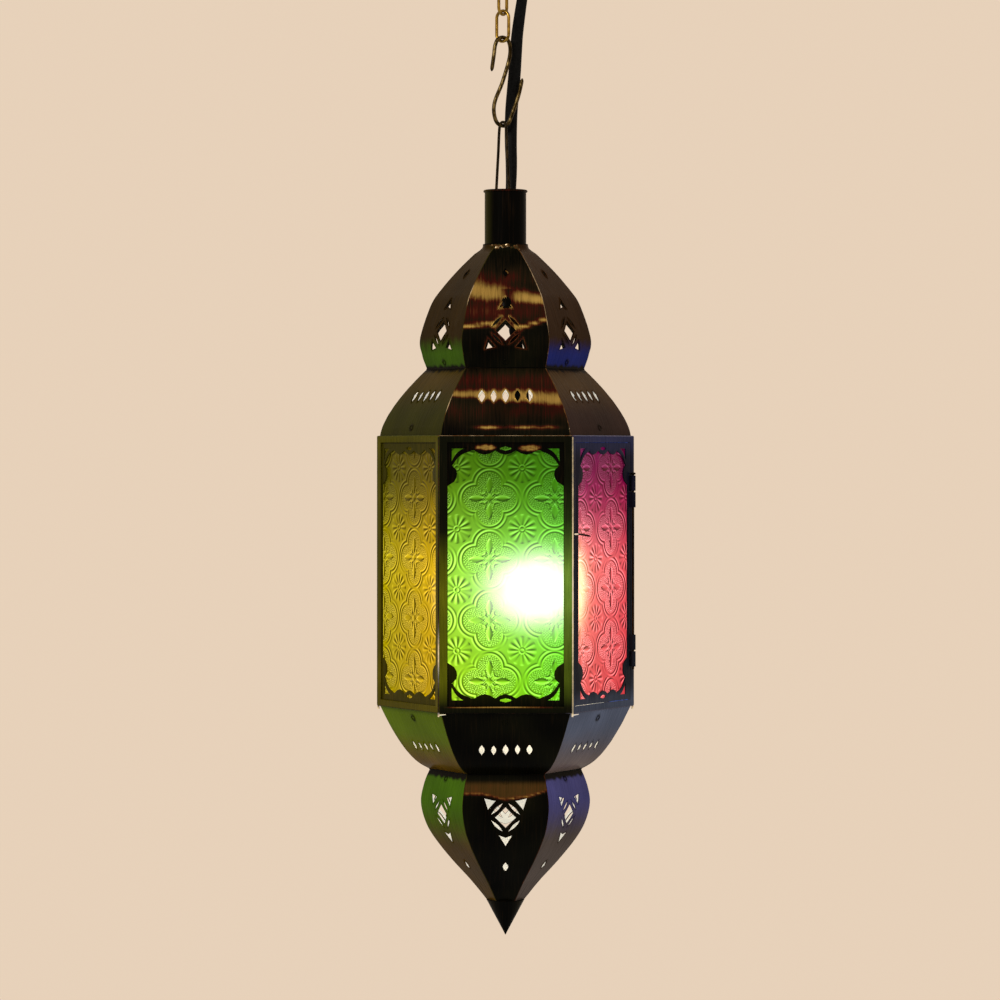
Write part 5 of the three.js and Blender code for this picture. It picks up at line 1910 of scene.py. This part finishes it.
bulb_radius = 30.0
bulb_centre = bulb_top - 50
bulb_outside = [
    (13.2, bulb_top),
    (13.2, bulb_top - 4),
    (13.9, bulb_top - 7.5),
    (15.2, bulb_top - 11),
    (17.4, bulb_top - 16),
    (19.8, bulb_top - 22),
]
bulb_outside += [
    (bulb_radius * math.sin(a), bulb_centre - bulb_radius * math.cos(a))
    for a in np.linspace(math.radians(128), 0, 30)
]
bulb_outside[-1] = (0, bulb_centre - bulb_radius)
bulb_inside = [
    (max(radius - 1, 0), z + (1 if radius < 1e-6 else 0)) for radius, z in reversed(bulb_outside)
]
lit_glass = finish(
    "lit_bulb_glass", [(0.82, 0.76, 0.62), (0.9, 0.86, 0.74)], 0, (0.3, 0.4), (60, 60, 60), 0.00002
)
wired(shader_of(lit_glass), {"Emission Color": (1.0, 0.86, 0.62, 1), "Emission Strength": 9.0})
placed(
    hung("bulb_envelope", bulb_outside + bulb_inside, lit_glass, 64),
    "bulb",
    "lit_bulb",
    "bulb_glass",
)


# Room
# A plain pale floor far below, a pale even backdrop and soft lamps, at a plain level.
floor_material = finish(
    "pale_floor", [(0.80, 0.77, 0.73), (0.84, 0.81, 0.77)], 0, (0.6, 0.7), (2, 2, 2), 0.0
)
floor_rays = added(floor_material.node_tree.nodes, "LightPath", {})
floor_glow = {
    "Emission Color": (0.19, 0.16, 0.12, 1),
    "Emission Strength": floor_rays.outputs["Is Camera Ray"],
}
wired(shader_of(floor_material), floor_glow)
floor = made(
    "floor",
    [(-5, -5, -2.3), (5, -5, -2.3), (5, 5, -2.3), (-5, 5, -2.3)],
    [(0, 1, 2, 3)],
    floor_material,
)


def softbox(name, place, aim, size, watts, colour):
    data = bpy.data.lights.new(name, "AREA")
    data.shape = "RECTANGLE"
    data.size, data.size_y = size
    data.energy = watts
    data.color = colour
    lamp = bpy.data.objects.new(name, data)
    lamp.location = place
    lamp.rotation_euler = (Vector(aim) - Vector(place)).to_track_quat("-Z", "Y").to_euler()
    lamp.visible_glossy = name == "key"
    bpy.context.collection.objects.link(lamp)


centre = (0, 0, -0.36)
softbox("key", (-1.3, -1.7, 1.0), centre, (0.9, 0.9), 42, (1.0, 0.96, 0.90))
softbox("fill", (1.9, -1.2, 0.0), centre, (1.2, 1.6), 22, (0.95, 0.97, 1.0))
softbox("rim", (0.6, 2.0, 0.8), centre, (1.2, 1.0), 26, (1.0, 0.97, 0.94))

world = bpy.data.worlds.new("room")
bpy.context.scene.world = world
world.use_nodes = True
nodes = world.node_tree.nodes
light = nodes["Background"]
wired(light, {"Color": (1.0, 0.97, 0.94, 1), "Strength": 0.5})
seen = added(nodes, "Background", {"Color": (0.80, 0.64, 0.49, 1), "Strength": 1.0})
rays = added(nodes, "LightPath", {}).outputs
either = added(
    nodes, "Math", {0: rays["Is Camera Ray"], 1: rays["Is Glossy Ray"]}, operation="MAXIMUM"
)
any_seen = added(
    nodes, "Math", {0: either.outputs[0], 1: rays["Is Transmission Ray"]}, operation="MAXIMUM"
)
chosen = added(
    nodes, "MixShader", {0: any_seen.outputs[0], 1: light.outputs[0], 2: seen.outputs[0]}
)
wired(nodes["World Output"], {"Surface": chosen.outputs["Shader"]})
bpy.context.scene.view_settings.view_transform = "Standard"
